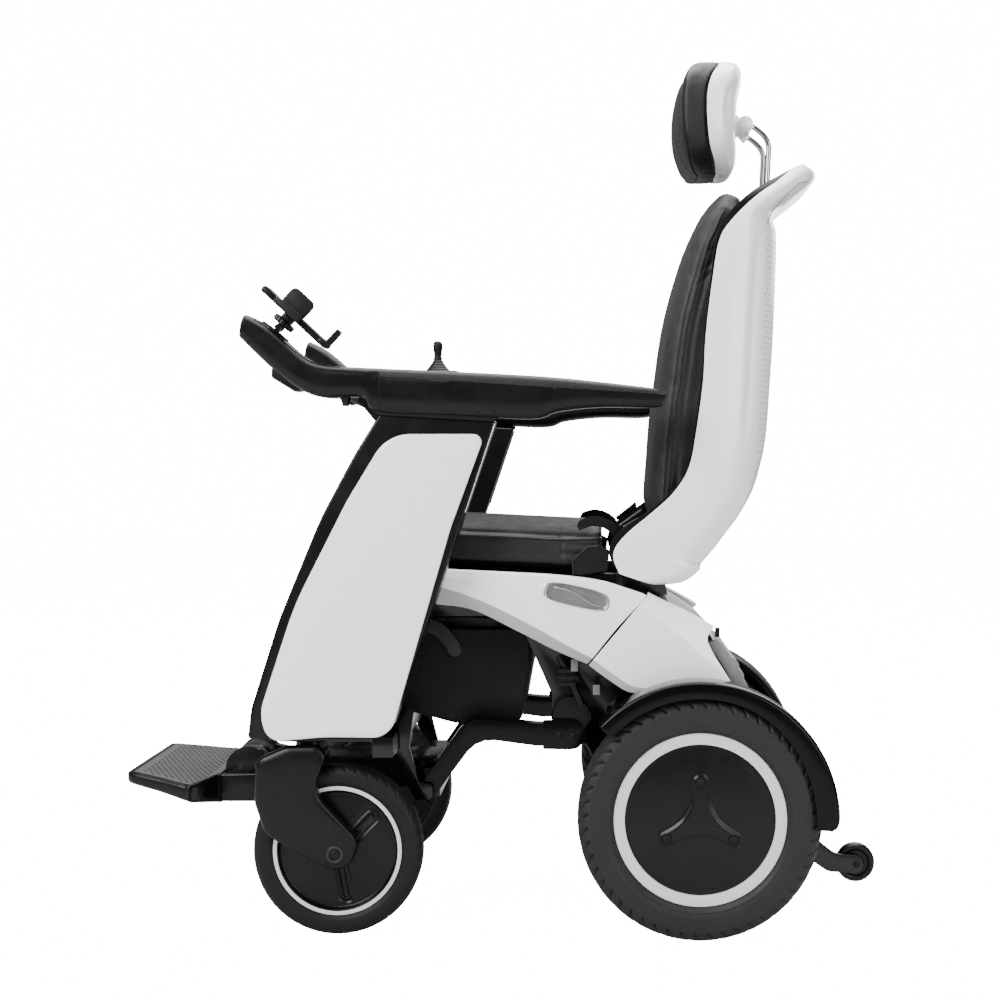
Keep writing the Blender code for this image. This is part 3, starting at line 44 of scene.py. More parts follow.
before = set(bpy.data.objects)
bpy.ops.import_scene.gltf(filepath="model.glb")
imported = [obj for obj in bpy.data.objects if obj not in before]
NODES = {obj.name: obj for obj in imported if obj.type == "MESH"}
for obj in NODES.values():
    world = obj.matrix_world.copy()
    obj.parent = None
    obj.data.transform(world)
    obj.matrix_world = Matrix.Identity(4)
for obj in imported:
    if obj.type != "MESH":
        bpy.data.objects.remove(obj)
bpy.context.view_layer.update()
SIDES = (("left", 1), ("right", -1))

DRIVE_CENTRE = Vector((0.270, 0.304, 0.178))
CASTOR_CENTRE = Vector((0.240, -0.227, 0.125))
ROLLER_CENTRE = Vector((0.1955, 0.543, 0.094))
HEAD_AXIS = Vector((0.0, 0.393, 1.240))
STICK_PIVOT = Vector((-0.265, -0.129, 0.857))
CRADLE_HINGE = Vector((0.270, -0.3100, 0.8920))
CRADLE_SLOPE = math.radians(42.9)
SEAT_TILT = math.radians(2.8)
SEAT_FRONT_Y, SEAT_BACK_Y = -0.280, 0.170
SEAT_PIPING = 0.0575
PAD_FRONT_Y = -0.1583
ARM_X = 0.270
ROD_X = 0.045
# How far to the side the lines start that lay piping and stitches on a cushion
BESIDE_X = 0.24
# Where the seat cushion's two cross seams run
SEAT_SEAMS = (0.100, -0.185)
STUFFING_FRAMES = 20
SUBDIVIDE = ("SUBSURF", {"levels": 1, "render_levels": 1})
BELT_WIDTH, BELT_THICKNESS = 0.014, 0.0024
# The distance between rows of a hexagonal pattern, for a pitch of 1
HEXAGON_RISE = 0.866
CAMERA_PLACE = (2.72, 0.1545, 0.6915)
CAMERA_LENS, CAMERA_SHIFT = 60.3, (-0.097, -0.035)
# Where the lights point
LIT_POINT = Vector((0, 0, 0.6))


# Settings


def size(name, description, default, low=0.0, high=1.0):
    return FloatProperty(
        name=name, description=description, default=default, min=low, max=high, unit="LENGTH", precision=4
    )


def colour(name, description, default):
    return FloatVectorProperty(
        name=name, description=description, default=default, min=0.0, max=1.0, size=3, subtype="COLOR"
    )


class FinishSettings(bpy.types.PropertyGroup):
    """Colours of the chair's finishes."""

    white: colour("White", "Moulded covers and shells", (0.93, 0.93, 0.93))
    black: colour("Black", "Moulded black plastic", (0.0030, 0.0030, 0.0032))
    grey: colour("Grey", "Moulded grey plastic", (0.075, 0.075, 0.078))
    steel: colour("Steel", "Powder-coated frame", (0.0020, 0.0020, 0.0022))
    leather: colour("Leather", "Sides of the cushions", (0.0055, 0.0055, 0.0055))
    # The panel colour is the side leather made lighter as painted light: the lit top and front panels of the
    # cushions, with their sheen.
    panel: colour("Panel", "Top and front panels of the cushions", (0.0085, 0.0085, 0.0088))
    rubber: colour("Rubber", "Tyres", (0.0075, 0.0075, 0.0075))
    webbing: colour("Webbing", "Lap belts", (0.0016, 0.0016, 0.0016))


class CushionSettings(bpy.types.PropertyGroup):
    """Sizes of the sewn cushions."""

    voxel: size("Mesh size", "Spacing of the points before the cushions are stuffed", 0.006, 0.003, 0.02)
    swell: size("Swell", "Furthest that stuffing moves the cover out", 0.008, 0.0, 0.03)
    seam: size("Seam depth", "Depth of a seam line", 0.0022, 0.0, 0.01)
    stitch: size("Stitch pitch", "Distance between stitches", 0.0055, 0.002, 0.02)


class ShellSettings(bpy.types.PropertyGroup):
    """Sizes of the shell and covers."""

    wall: size("Wall", "Thickness of the back shell", 0.004, 0.001, 0.01)
    hole_pitch: size("Hole pitch", "Distance between the rear panel's perforations", 0.0095, 0.004, 0.03)
    hole_radius: size("Hole radius", "Radius of each perforation", 0.0019, 0.0005, 0.005)
    rim: size("Rim", "Rounding of a cover's edge", 0.0018, 0.0, 0.004)


class WheelSettings(bpy.types.PropertyGroup):
    """Sizes of the tyres' tread and the wheel covers."""

    sipes: IntProperty(name="Sipes", description="Slits round each shoulder", default=52, min=8, max=120)
    tread: size("Tread depth", "Depth of the tread's grooves", 0.0030, 0.0, 0.006)
    emboss: size("Emboss height", "Height of the three-armed figure on the cover", 0.0036, 0.0, 0.006)
    ring: colour("Ring", "The light ring in each wheel", (0.60, 0.60, 0.59))


class PlateSettings(bpy.types.PropertyGroup):
    """Sizes of the footplate's grip."""

    bar_pitch: size("Bar pitch", "Distance between the grip's short bars along a row", 0.020, 0.008, 0.05)
    row_pitch: size("Row pitch", "Distance between the rows of bars", 0.0048, 0.003, 0.03)
    bar_length: size("Bar length", "Length of each bar", 0.0125, 0.002, 0.03)


class StageSettings(bpy.types.PropertyGroup):
    """The floor and the lights."""

    floor: colour("Floor", "Floor", (0.55, 0.55, 0.55))
    key: FloatProperty(name="Key light", description="Strength", default=235.0, min=0.0, unit="POWER")
    fill: FloatProperty(name="Fill light", description="Strength", default=70.0, min=0.0, unit="POWER")
    top: FloatProperty(name="Top light", description="Strength", default=280.0, min=0.0, unit="POWER")
    backdrop: FloatProperty(name="Backdrop", description="Brightness of the backdrop", default=16.0, min=0.0)
    around: FloatProperty(name="Around", description="How much light the room gives", default=0.30, min=0.0)


SETTINGS = (
    ("chair_finish", FinishSettings),
    ("chair_cushions", CushionSettings),
    ("chair_shell", ShellSettings),
    ("chair_wheels", WheelSettings),
    ("chair_plate", PlateSettings),
    ("chair_stage", StageSettings),
)


# Shader groups


def scaled(tint, share):
    """A colour with its three channels multiplied by share."""
    return tuple(share * channel for channel in tint)


def feed(tree, node, links):
    """Feeds a node's inputs, each with a value or another node's output."""
    for key, value in links.items():
        if isinstance(value, bpy.types.NodeSocket):
            tree.links.new(value, node.inputs[key])
        else:
            node.inputs[key].default_value = value


def add_group(name, inputs, outputs):
    """A shader group with its sockets, and its input and output nodes."""
    group = bpy.data.node_groups.new(name, "ShaderNodeTree")
    for label, kind, value in inputs:
        socket = group.interface.new_socket(label, in_out="INPUT", socket_type=kind)
        if value is not None:
            socket.default_value = value
    for label, kind in outputs:
        group.interface.new_socket(label, in_out="OUTPUT", socket_type=kind)
    return group, group.nodes.new("NodeGroupInput"), group.nodes.new("NodeGroupOutput")


def add_node(tree, kind, links=None, **settings):
    """A node with its settings and its inputs."""
    node = tree.nodes.new(kind)
    for key, value in settings.items():
        setattr(node, key, value)
    feed(tree, node, links or {})
    return node


NUMBER, COLOUR, VECTOR = "NodeSocketFloat", "NodeSocketColor", "NodeSocketVector"


def add_noise(tree, vector, scale, detail=2.0, roughness=0.5):
    """Noise over the piece; its first output is a number and its second a colour."""
    links = {"Vector": vector, "Scale": scale, "Detail": detail, "Roughness": roughness}
    return add_node(tree, "ShaderNodeTexNoise", links).outputs


def add_mix(tree, share, first, second):
    """Two colours blended by share."""
    return add_node(tree, "ShaderNodeMix", {0: share, 6: first, 7: second}, data_type="RGBA").outputs[2]


def add_range(tree, value, low, high, to_low=0.0, to_high=1.0):
    """A value brought from one range into another."""
    return add_node(tree, "ShaderNodeMapRange", {0: value, 1: low, 2: high, 3: to_low, 4: to_high}).outputs[0]


def add_math(tree, operation, first, second):
    return add_node(tree, "ShaderNodeMath", {0: first, 1: second}, operation=operation).outputs[0]


def add_shared(tree, name, links):
    """One of the shader groups, with its inputs."""
    return add_node(tree, "ShaderNodeGroup", links, node_tree=bpy.data.node_groups[name]).outputs


def surface_group():
    """Slow changes of colour and gloss over a moulded or painted surface, and its fine grain."""
    inputs = [
        ("Vector", VECTOR, None),
        ("Colour", COLOUR, (0.5, 0.5, 0.5, 1)),
        ("Shade", COLOUR, (0.4, 0.4, 0.4, 1)),
        ("Tone Scale", NUMBER, 6.0),
        ("Gloss Low", NUMBER, 0.3),
        ("Gloss High", NUMBER, 0.4),
        ("Grain Scale", NUMBER, 900.0),
    ]
    outputs = [("Colour", COLOUR), ("Roughness", NUMBER), ("Height", NUMBER)]
    group, given, out = add_group("moulded surface", inputs, outputs)
    vector, colour_in, shade_in, tone_scale, gloss_low, gloss_high, grain_scale = given.outputs[:7]
    tone = add_noise(group, vector, tone_scale, 3.0)
    smudge = add_noise(group, vector, 22.0, 4.0)
    grain = add_noise(group, vector, grain_scale)
    gloss = add_range(group, smudge[0], 0.35, 0.65, gloss_low, gloss_high)
    mixed = add_mix(group, tone[0], colour_in, shade_in)
    feed(group, out, {"Colour": mixed, "Roughness": gloss, "Height": grain[0]})


def leather_group():
    """Pebbled grain with fine creases between the pebbles."""
    inputs = [("Vector", VECTOR, None), ("Scale", NUMBER, 620.0)]
    group, given, out = add_group("leather grain", inputs, [("Height", NUMBER), ("Crease", NUMBER)])
    vector, scale = given.outputs[:2]
    warp = {0: add_noise(group, vector, 180.0)[1], 1: (0.0012, 0.0012, 0.0012)}
    nudge = add_node(group, "ShaderNodeVectorMath", warp, operation="MULTIPLY")
    moved = add_node(group, "ShaderNodeVectorMath", {0: vector, 1: nudge.outputs[0]})
    cells = {"Vector": moved.outputs[0], "Scale": scale}
    cell = add_node(group, "ShaderNodeTexVoronoi", cells, feature="DISTANCE_TO_EDGE")
    pebble = add_range(group, cell.outputs["Distance"], 0.0, 0.30)
    fold = add_noise(group, vector, 38.0, 5.0, 0.6)[0]
    feed(group, out, {"Height": add_math(group, "ADD", pebble, fold), "Crease": fold})


def weave_group():
    """The ribs and cross threads of webbing."""
    inputs = [("Vector", VECTOR, None), ("Scale", NUMBER, 260.0)]
    group, given, out = add_group("woven webbing", inputs, [("Height", NUMBER), ("Mask", NUMBER)])
    links = {"Vector": given.outputs["Vector"], "Scale": given.outputs["Scale"], "Distortion": 0.4}
    ribs = add_node(group, "ShaderNodeTexWave", links, bands_direction="X")
    threads = add_node(group, "ShaderNodeTexWave", links, bands_direction="Z")
    both = add_math(group, "MAXIMUM", ribs.outputs[1], threads.outputs[1])
    feed(group, out, {"Height": both, "Mask": both})


def start_material(name):
    """A new material's tree, its Principled shader and its Object coordinates."""
    material = bpy.data.materials.new(name)
    material.use_nodes = True
    tree = material.node_tree
    shader = tree.nodes["Principled BSDF"]
    place = tree.nodes.new("ShaderNodeTexCoord").outputs["Object"]
    return material, tree, shader, place


def add_bump(tree, shader, height, strength, distance):
    bump = add_node(tree, "ShaderNodeBump", {"Height": height, "Strength": strength, "Distance": distance})
    tree.links.new(bump.outputs[0], shader.inputs["Normal"])


def moulded(
    name, tint, gloss, grain=(900.0, 0.15, 0.0002), shade=0.85, coat=0.0, metallic=0.0, tone=6.0, shine=0.5
):
    """A moulded, painted or plated finish; grain is its scale, strength and depth."""
    material, tree, shader, place = start_material(name)
    values = {
        "Vector": place,
        "Colour": (*tint, 1.0),
        "Shade": (*scaled(tint, shade), 1.0),
        "Tone Scale": tone,
        "Gloss Low": gloss[0],
        "Gloss High": gloss[1],
        "Grain Scale": grain[0],
    }
    surface = add_shared(tree, "moulded surface", values)
    looks = {
        "Base Color": surface["Colour"],
        "Roughness": surface["Roughness"],
        "Metallic": metallic,
        "Specular IOR Level": shine,
        "Coat Weight": coat,
        "Coat Roughness": 0.08,
    }
    feed(tree, shader, looks)
    add_bump(tree, shader, surface["Height"], grain[1], grain[2])
    return material


def leather(name, tint, roughness=0.44, shine=0.3):
    """Grained leather, lighter and rougher along its creases."""
    _, tree, shader, place = start_material(name)
    grain = add_shared(tree, "leather grain", {"Vector": place})
    dark, light = (*scaled(tint, 0.75), 1.0), (*scaled(tint, 1.35), 1.0)
    gloss = add_range(tree, grain["Crease"], 0.3, 0.7, roughness - 0.06, roughness + 0.08)
    mixed = add_mix(tree, grain["Crease"], dark, light)
    feed(tree, shader, {"Base Color": mixed, "Roughness": gloss, "Specular IOR Level": shine})
    add_bump(tree, shader, grain["Height"], 0.30, 0.0006)


def webbing(name, tint, scale, turn, shine=0.1):
    """A weave whose threads cross in the side plane, turned by an angle."""
    _, tree, shader, place = start_material(name)
    turned = add_node(tree, "ShaderNodeMapping", {"Vector": place, "Rotation": (turn, 0.0, math.pi / 2)})
    weave = add_shared(tree, "woven webbing", {"Vector": turned.outputs[0], "Scale": scale})
    mixed = add_mix(tree, weave["Mask"], (*tint, 1.0), (*scaled(tint, 3.0), 1.0))
    feed(tree, shader, {"Base Color": mixed, "Roughness": 0.7, "Specular IOR Level": shine})
    add_bump(tree, shader, weave["Height"], 0.6, 0.0006)


def make_finishes(tints):
    """Every finish of the chair, kept by name in Blender's materials."""
    surface_group()
    leather_group()
    weave_group()
    white, black, grey, rubber = tints.white, tints.black, tints.grey, tints.rubber
    smooth_grain = (60.0, 0.05, 0.0004)
    grey_grain = (1300.0, 0.35, 0.0002)
    tail_grain = (1300.0, 0.25, 0.0002)
    paint_grain = (900.0, 0.10, 0.0002)
    rubber_grain = (520.0, 0.45, 0.0004)
    moulded("white cover", white, (0.20, 0.27), (40.0, 0.04, 0.0004), 0.975, 0.5)
    moulded("white panel", scaled(white, 0.93), (0.27, 0.34), smooth_grain, 0.97, 0.25)
    # This grey is painted shade: the covers' white lower borders as seen in shade, and the shaded insides of
    # the rear panel's holes.
    moulded("flange grey", scaled(white, 0.40), (0.34, 0.42), smooth_grain, 0.97)
    moulded("satin black", black, (0.24, 0.34), (1400.0, 0.30, 0.00015), 0.75, shine=0.22)
    moulded("gloss black", black, (0.12, 0.20), (60.0, 0.05, 0.0003), 0.9, 0.5)
    moulded("deep black", scaled(black, 0.4), (0.13, 0.19), (60.0, 0.04, 0.0003), 0.9, shine=0.15)
    moulded("matt black", scaled(black, 1.3), (0.42, 0.55), (1100.0, 0.40, 0.0002), 0.7, shine=0.2)
    moulded("moulded grey", grey, (0.42, 0.55), grey_grain, 0.85)
    moulded("dark grey", scaled(grey, 0.22), (0.38, 0.50), grey_grain, 0.85, shine=0.3)
    moulded("tail grey", scaled(grey, 2.4), (0.40, 0.50), tail_grain, 0.85)
    moulded("mat grey", scaled(grey, 0.75), (0.40, 0.50), tail_grain, 0.85)
    moulded("powder coat", tints.steel, (0.20, 0.28), (700.0, 0.12, 0.0002), 0.8, 0.15, shine=0.3)
    moulded("bright chrome", (0.36, 0.36, 0.37), (0.05, 0.12), (60.0, 0.03, 0.0002), 0.97, 0.0, 1.0)
    # Silver paint serves the handle's dish, and as a painted highlight the pillars' rear edges.
    moulded("silver paint", (0.42, 0.42, 0.42), (0.20, 0.28), paint_grain, 0.9, 0.3, 0.85)
    # A darker grey for the deep floor of the handle's dish: painted shade in the recess.
    moulded("recess grey", (0.19, 0.19, 0.19), (0.24, 0.32), paint_grain, 0.9, 0.3, 0.6)
    moulded("screw metal", (0.24, 0.24, 0.245), (0.22, 0.32), (400.0, 0.10, 0.0002), 0.8, 0.0, 0.9)
    moulded("tyre rubber", rubber, (0.50, 0.64), rubber_grain, 1.7, tone=14.0, shine=0.3)
    moulded("castor rubber", scaled(rubber, 0.5), (0.46, 0.58), rubber_grain, 1.7, tone=14.0, shine=0.2)
    moulded("stitch thread", (0.022, 0.022, 0.022), (0.6, 0.7), (2500.0, 0.3, 0.0002), 0.7)
    leather("side leather", tints.leather)
    # Panel leather is side leather painted lighter for the light and sheen on the cushions' tops and fronts.
    leather("panel leather", tints.panel, 0.55, 0.12)
    # Front leather is painted lighter still: painted light from the key light on the fronts of the back
    # cushion and headrest.
    leather("front leather", scaled(tints.panel, 2.4), 0.50, 0.25)
    webbing("belt webbing", tints.webbing, 260.0, 0.0)
    webbing("pocket mesh", scaled(tints.webbing, 2.0), 80.0, math.pi / 4)


def finish(name):
    return bpy.data.materials[name]


# Meshes


def in_scene(name, data):
    """A new object of the scene that holds this data."""
    made = bpy.data.objects.new(name, data)
    bpy.context.scene.collection.objects.link(made)
    return made


def mesh_of(bm, name):
    """A new mesh from bm, which is freed."""
    mesh = bpy.data.meshes.new(name)
    bm.to_mesh(mesh)
    bm.free()
    return mesh


def result_of(holder):
    """The mesh of an object after its modifiers; the object is removed."""
    bpy.context.view_layer.update()
    graph = bpy.context.evaluated_depsgraph_get()
    result = bpy.data.meshes.new_from_object(holder.evaluated_get(graph))
    bpy.data.objects.remove(holder)
    return result


def shade(mesh, sharp=35.0):
    mesh.shade_smooth()
    mesh.set_sharp_from_angle(angle=math.radians(sharp))
    return mesh


def closed_mesh(name, bm, sharp=35.0):
    """The finished mesh of a closed shape, its doubles merged and its faces turned outwards."""
    bmesh.ops.remove_doubles(bm, verts=bm.verts, dist=1e-6)
    bmesh.ops.recalc_face_normals(bm, faces=bm.faces)
    return shade(mesh_of(bm, name), sharp)


def baked(mesh, modifiers, sharp=35.0):
    """The mesh after these modifiers, each given as (type, settings)."""
    holder = in_scene(mesh.name, mesh)
    for kind, settings in modifiers:
        modifier = holder.modifiers.new(kind.lower(), kind)
        for key, value in settings.items():
            setattr(modifier, key, value)
    return shade(result_of(holder), sharp)


def bevel(width, segments=3, angle=35):
    settings = {"width": width, "segments": segments, "limit_method": "ANGLE"}
    return "BEVEL", {**settings, "angle_limit": math.radians(angle), "use_clamp_overlap": True}


def cut(mesh, cutter):
    """The mesh with the cutter's shape taken out of it."""
    tool = in_scene(cutter.name, cutter)
    result = baked(mesh, [("BOOLEAN", {"object": tool, "operation": "DIFFERENCE", "solver": "EXACT"})], 50.0)
    bpy.data.objects.remove(tool)
    return result


def mirrored(mesh):
    copy = mesh.copy()
    copy.transform(Matrix.Diagonal((-1.0, 1.0, 1.0, 1.0)))
    copy.flip_normals()
    return copy


def place(name, mesh, body, material, slot, *nodes):
    """Puts a mesh in the scene on its body, in the place of the nodes that it stands for."""
    piece = in_scene(name, mesh)
    if material:
        mesh.materials.clear()
        mesh.materials.append(finish(material))
    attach(piece, body)
    if nodes:
        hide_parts(*nodes)
    return piece


def place_pair(name, mesh, body, material, slot, *nodes):
    """A left-hand mesh and its mirror image. In body and nodes, * stands for the side."""
    pair = []
    for side, sign in SIDES:
        own = mesh if sign > 0 else mirrored(mesh)
        swapped = [node.replace("*", side) for node in nodes]
        pair.append(place(name + "_" + side, own, body.replace("*", side), material, slot, *swapped))
    return pair


def softened(node, width=0.0008, segments=2, sharp=35.0):
    """A node's own shape, welded, with its edges rounded."""
    bm = bmesh.new()
    bm.from_mesh(NODES[node].data)
    bmesh.ops.remove_doubles(bm, verts=bm.verts, dist=2e-5)
    bmesh.ops.dissolve_limit(bm, angle_limit=math.radians(0.6), verts=bm.verts, edges=bm.edges)
    return baked(mesh_of(bm, node + "_softened"), [bevel(width, segments)], sharp)


def beside(rows, index):
    """The rows before and after one row, or the row itself at an end."""
    return rows[max(index - 1, 0)], rows[min(index + 1, len(rows) - 1)]


def there_and_back(profile):
    """A profile of (radius, x) points and its mirror image, from one face of a wheel to the other."""
    return profile + [(radius, -x) for radius, x in reversed(profile)]


def rounded(corners, steps=10):
    """An outline from (y, z, radius) corners, each corner turned by an arc."""
    outline = []
    for index, (y, z, radius) in enumerate(corners):
        corner = Vector((y, z))
        back = (Vector(corners[index - 1][:2]) - corner).normalized()
        ahead = (Vector(corners[(index + 1) % len(corners)][:2]) - corner).normalized()
        if radius <= 0:
            outline.append(corner)
            continue
        half = back.angle(ahead) / 2
        centre = corner + (back + ahead).normalized() * (radius / math.sin(half))
        start = corner + back * (radius / math.tan(half)) - centre
        end = corner + ahead * (radius / math.tan(half)) - centre
        first = math.atan2(start.y, start.x)
        sweep = (math.atan2(end.y, end.x) - first + math.pi) % (2 * math.pi) - math.pi
        for step in range(steps + 1):
            angle = first + sweep * step / steps
            outline.append(centre + radius * Vector((math.cos(angle), math.sin(angle))))
    return [tuple(point) for point in outline]


def smooth(points, spans=6):
    """Points on a Catmull-Rom curve through the given ones, of any dimension."""
    points = [Vector(point) for point in points]
    last = len(points) - 1
    curve = []
    for index in range(last):
        a, b, c, d = (points[min(max(pick, 0), last)] for pick in range(index - 1, index + 3))
        for step in range(spans):
            t = step / spans
            bend = (2 * a - 5 * b + 4 * c - d) * t**2 + (3 * b - a - 3 * c + d) * t**3
            curve.append(0.5 * (2 * b + (c - a) * t + bend))
    curve.append(points[-1])
    return [tuple(point) for point in curve]


def plate(name, outline, x_low, x_high, rounding=0.0, segments=4):
    """A flat outline in the side plane, as (y, z) points, with its thickness along X."""
    bm = bmesh.new()
    near = [bm.verts.new((x_low, y, z)) for y, z in outline]
    far = [bm.verts.new((x_high, y, z)) for y, z in outline]
    bm.faces.new(near)
    bm.faces.new(far)
    for index in range(len(outline)):
        beside = (index + 1) % len(outline)
        bm.faces.new((near[index], near[beside], far[beside], far[index]))
    mesh = closed_mesh(name, bm)
    return baked(mesh, [bevel(rounding, segments)]) if rounding else mesh


def crowned_plate(name, outline, profile):
    """A plate in the side plane that narrows towards its middle, by (share, x) from the back face."""
    middle = sum((Vector(point) for point in outline), Vector((0.0, 0.0))) / len(outline)
    rings = []
    for share, x in profile:
        rings.append([(x, *(middle + (Vector(point) - middle) * share)) for point in outline])
    return loft(name, rings)


def add_rings(name, rings, closed, sharp=35.0):
    """A body through rings of equal length, closed on itself or with flat ends."""
    bm = bmesh.new()
    rows = [[bm.verts.new(point) for point in ring] for ring in rings]
    for row, following in zip(rows, rows[1:] + rows[:1] if closed else rows[1:]):
        for index in range(len(row)):
            next_one = (index + 1) % len(row)
            bm.faces.new((row[index], row[next_one], following[next_one], following[index]))
    if not closed:
        bm.faces.new(rows[0])
        bm.faces.new(rows[-1])
    return closed_mesh(name, bm, sharp)


def loft(name, rings, sharp=35.0):
    return add_rings(name, rings, False, sharp)


def skin(name, rows, wall, reverse=False, keep=None, rim=0.0):
    """An open surface through rows of points, given its wall on the inner side."""
    bm = bmesh.new()
    grid = [[bm.verts.new(point) for point in row] for row in rows]
    for i in range(len(grid) - 1):
        for j in range(len(grid[0]) - 1):
            if keep and not keep(i, j):
                continue
            face = (grid[i][j], grid[i][j + 1], grid[i + 1][j + 1], grid[i + 1][j])
            bm.faces.new(face[::-1] if reverse else face)
    bmesh.ops.delete(bm, geom=[vert for vert in bm.verts if not vert.link_faces], context="VERTS")
    steps = [("SOLIDIFY", {"thickness": wall, "offset": -1.0, "use_even_offset": True})]
    if rim:
        steps.append(bevel(rim, 3, 50))
    return baked(mesh_of(bm, name), steps, 50.0)


def revolve(name, profile, centre, steps, relief=None, closed=True, sharp=35.0):
    """A profile of (radius, x) points turned about the X axis; relief moves radius and x."""
    radii, along = np.array(profile, float).T
    angle = np.arange(steps)[:, None] * (2 * math.pi / steps)
    radii, along = np.broadcast_to(radii, (steps, len(radii))), np.broadcast_to(along, (steps, len(along)))
    if relief:
        radii, along = relief(radii, along, angle)
    points = np.stack((along, radii * np.cos(angle), radii * np.sin(angle)), -1).reshape(-1, 3)
    points = points + np.array(centre)
    count = len(profile)
    spans = count if closed else count - 1
    faces = []
    for step in range(steps):
        this, following = step * count, ((step + 1) % steps) * count
        for index in range(spans):
            beside = (index + 1) % count
            faces.append((this + index, this + beside, following + beside, following + index))
    mesh = bpy.data.meshes.new(name)
    mesh.from_pydata(points.tolist(), [], faces)
    bm = bmesh.new()
    bm.from_mesh(mesh)
    bmesh.ops.remove_doubles(bm, verts=bm.verts, dist=1e-6)
    bmesh.ops.dissolve_degenerate(bm, dist=1e-7, edges=bm.edges)
    return closed_mesh(name, bm, sharp)


def tube(name, route, radius, sides=12, closed=False):
    """A round bar along a route of points, with flat ends or closed on itself."""
    route = [Vector(point) for point in route]
    turns = [2 * math.pi * step / sides for step in range(sides)]
    rings = []
    side = Vector((1.0, 0.0, 0.0))
    for index, point in enumerate(route):
        before = route[index - 1] if closed or index else point
        after = route[(index + 1) % len(route)] if closed or index + 1 < len(route) else point
        run = (after - before).normalized()
        side = side - run * side.dot(run)
        side = side.normalized() if side.length > 1e-6 else run.orthogonal().normalized()
        other = run.cross(side)
        rings.append([point + radius * (math.cos(a) * side + math.sin(a) * other) for a in turns])
    return add_rings(name, rings, closed)


def disc(name, radius, low, high, y, z, steps):
    """A round plate about the X direction, from low to high."""
    profile = [(0.0, low), (radius, low), (radius, high), (0.0, high)]
    return revolve(name, profile, (0, y, z), steps, closed=False)


def block(name, low, high, rounding=0.002, segments=3):
    low, high = Vector(low), Vector(high)
    bm = bmesh.new()
    place_at = Matrix.Translation((low + high) / 2) @ Matrix.Diagonal((*(high - low), 1.0))
    bmesh.ops.create_cube(bm, size=1.0, matrix=place_at)
    return baked(closed_mesh(name, bm), [bevel(rounding, segments)])


def joined(name, *meshes):
    """One mesh from several."""
    bm = bmesh.new()
    for mesh in meshes:
        bm.from_mesh(mesh)
    return shade(mesh_of(bm, name))


# Repeated details


def repeat_tree(shape):
    """Geometry Nodes that put one small shape on every point, turned by the point's own angles."""
    name = "repeat " + shape
    if name in bpy.data.node_groups:
        return bpy.data.node_groups[name]
    tree = bpy.data.node_groups.new(name, "GeometryNodeTree")
    tree.interface.new_socket("Points", in_out="INPUT", socket_type="NodeSocketGeometry")
    for label in ("Length", "Width", "Height"):
        tree.interface.new_socket(label, in_out="INPUT", socket_type="NodeSocketFloat")
    tree.interface.new_socket("Material", in_out="INPUT", socket_type="NodeSocketMaterial")
    tree.interface.new_socket("Result", in_out="OUTPUT", socket_type="NodeSocketGeometry")
    given, out = tree.nodes.new("NodeGroupInput"), tree.nodes.new("NodeGroupOutput")
    points, length, width, height, material = given.outputs[:5]

    def add(kind, links, **settings):
        return add_node(tree, kind, links, **settings).outputs[0]

    if shape == "stud":
        form = add("GeometryNodeMeshCylinder", {"Vertices": 10, "Radius": 0.5, "Depth": 1.0})
    else:
        form = add("GeometryNodeMeshUVSphere", {"Segments": 8, "Rings": 5, "Radius": 0.5})
    scale = add("ShaderNodeCombineXYZ", {0: length, 1: width, 2: height})
    sized = add("GeometryNodeTransform", {"Geometry": form, "Scale": scale})
    angles = add("GeometryNodeInputNamedAttribute", {"Name": "turn"}, data_type="FLOAT_VECTOR")
    turn = add("FunctionNodeEulerToRotation", {0: angles})
    links = {"Points": points, "Instance": sized, "Rotation": turn}
    real = add("GeometryNodeRealizeInstances", {0: add("GeometryNodeInstanceOnPoints", links)})
    tree.links.new(add("GeometryNodeSetMaterial", {"Geometry": real, "Material": material}), out.inputs[0])
    return tree


def repeated(name, shape, spots, sizes, material, sharp=35.0):
    """A mesh of one shape on every spot, each a (point, normal, direction) of the surface."""
    mesh = bpy.data.meshes.new(name)
    mesh.from_pydata([tuple(point) for point, _, _ in spots], [], [])
    angles = []
    for _, normal, direction in spots:
        up = Vector(normal).normalized()
        run = Vector(direction)
        run = (run - up * run.dot(up)).normalized()
        angles += list(Matrix((run, up.cross(run), up)).transposed().to_euler())
    mesh.attributes.new("turn", "FLOAT_VECTOR", "POINT").data.foreach_set("vector", angles)
    holder = in_scene(name, mesh)
    modifier = holder.modifiers.new("repeat", "NODES")
    modifier.node_group = repeat_tree(shape)
    values = dict(zip(("Length", "Width", "Height"), sizes), Material=finish(material))
    for item in modifier.node_group.interface.items_tree:
        if item.in_out == "INPUT" and item.name in values:
            modifier[item.identifier] = values[item.name]
    result = result_of(holder)
    for attribute in [item for item in result.attributes if item.name == "turn"]:
        result.attributes.remove(attribute)
    return shade(result, sharp)


def surface_of(mesh):
    points = [vert.co.copy() for vert in mesh.vertices]
    return BVHTree.FromPolygons(points, [tuple(face.vertices) for face in mesh.polygons])


def on_surface(tree, points, lift=0.0):
    """The nearest (point, normal) of a surface to each of these points."""
    found = []
    for point in points:
        spot, normal, _, _ = tree.find_nearest(Vector(point))
        found.append((spot + normal * lift, normal))
    return found


def from_side(tree, y, z, start_x=0.30):
    """Where a line from the chair's left first meets a surface, or None, and the normal there."""
    hit, normal, _, _ = tree.ray_cast(Vector((start_x, y, z)), Vector((-1, 0, 0)))
    return hit, normal


def side_spots(x, *places):
    """Spots on faces that look out to the side, from their (y, z) places."""
    return [(Vector((x, y, z)), Vector((1, 0, 0)), Vector((0, 1, 0))) for y, z in places]


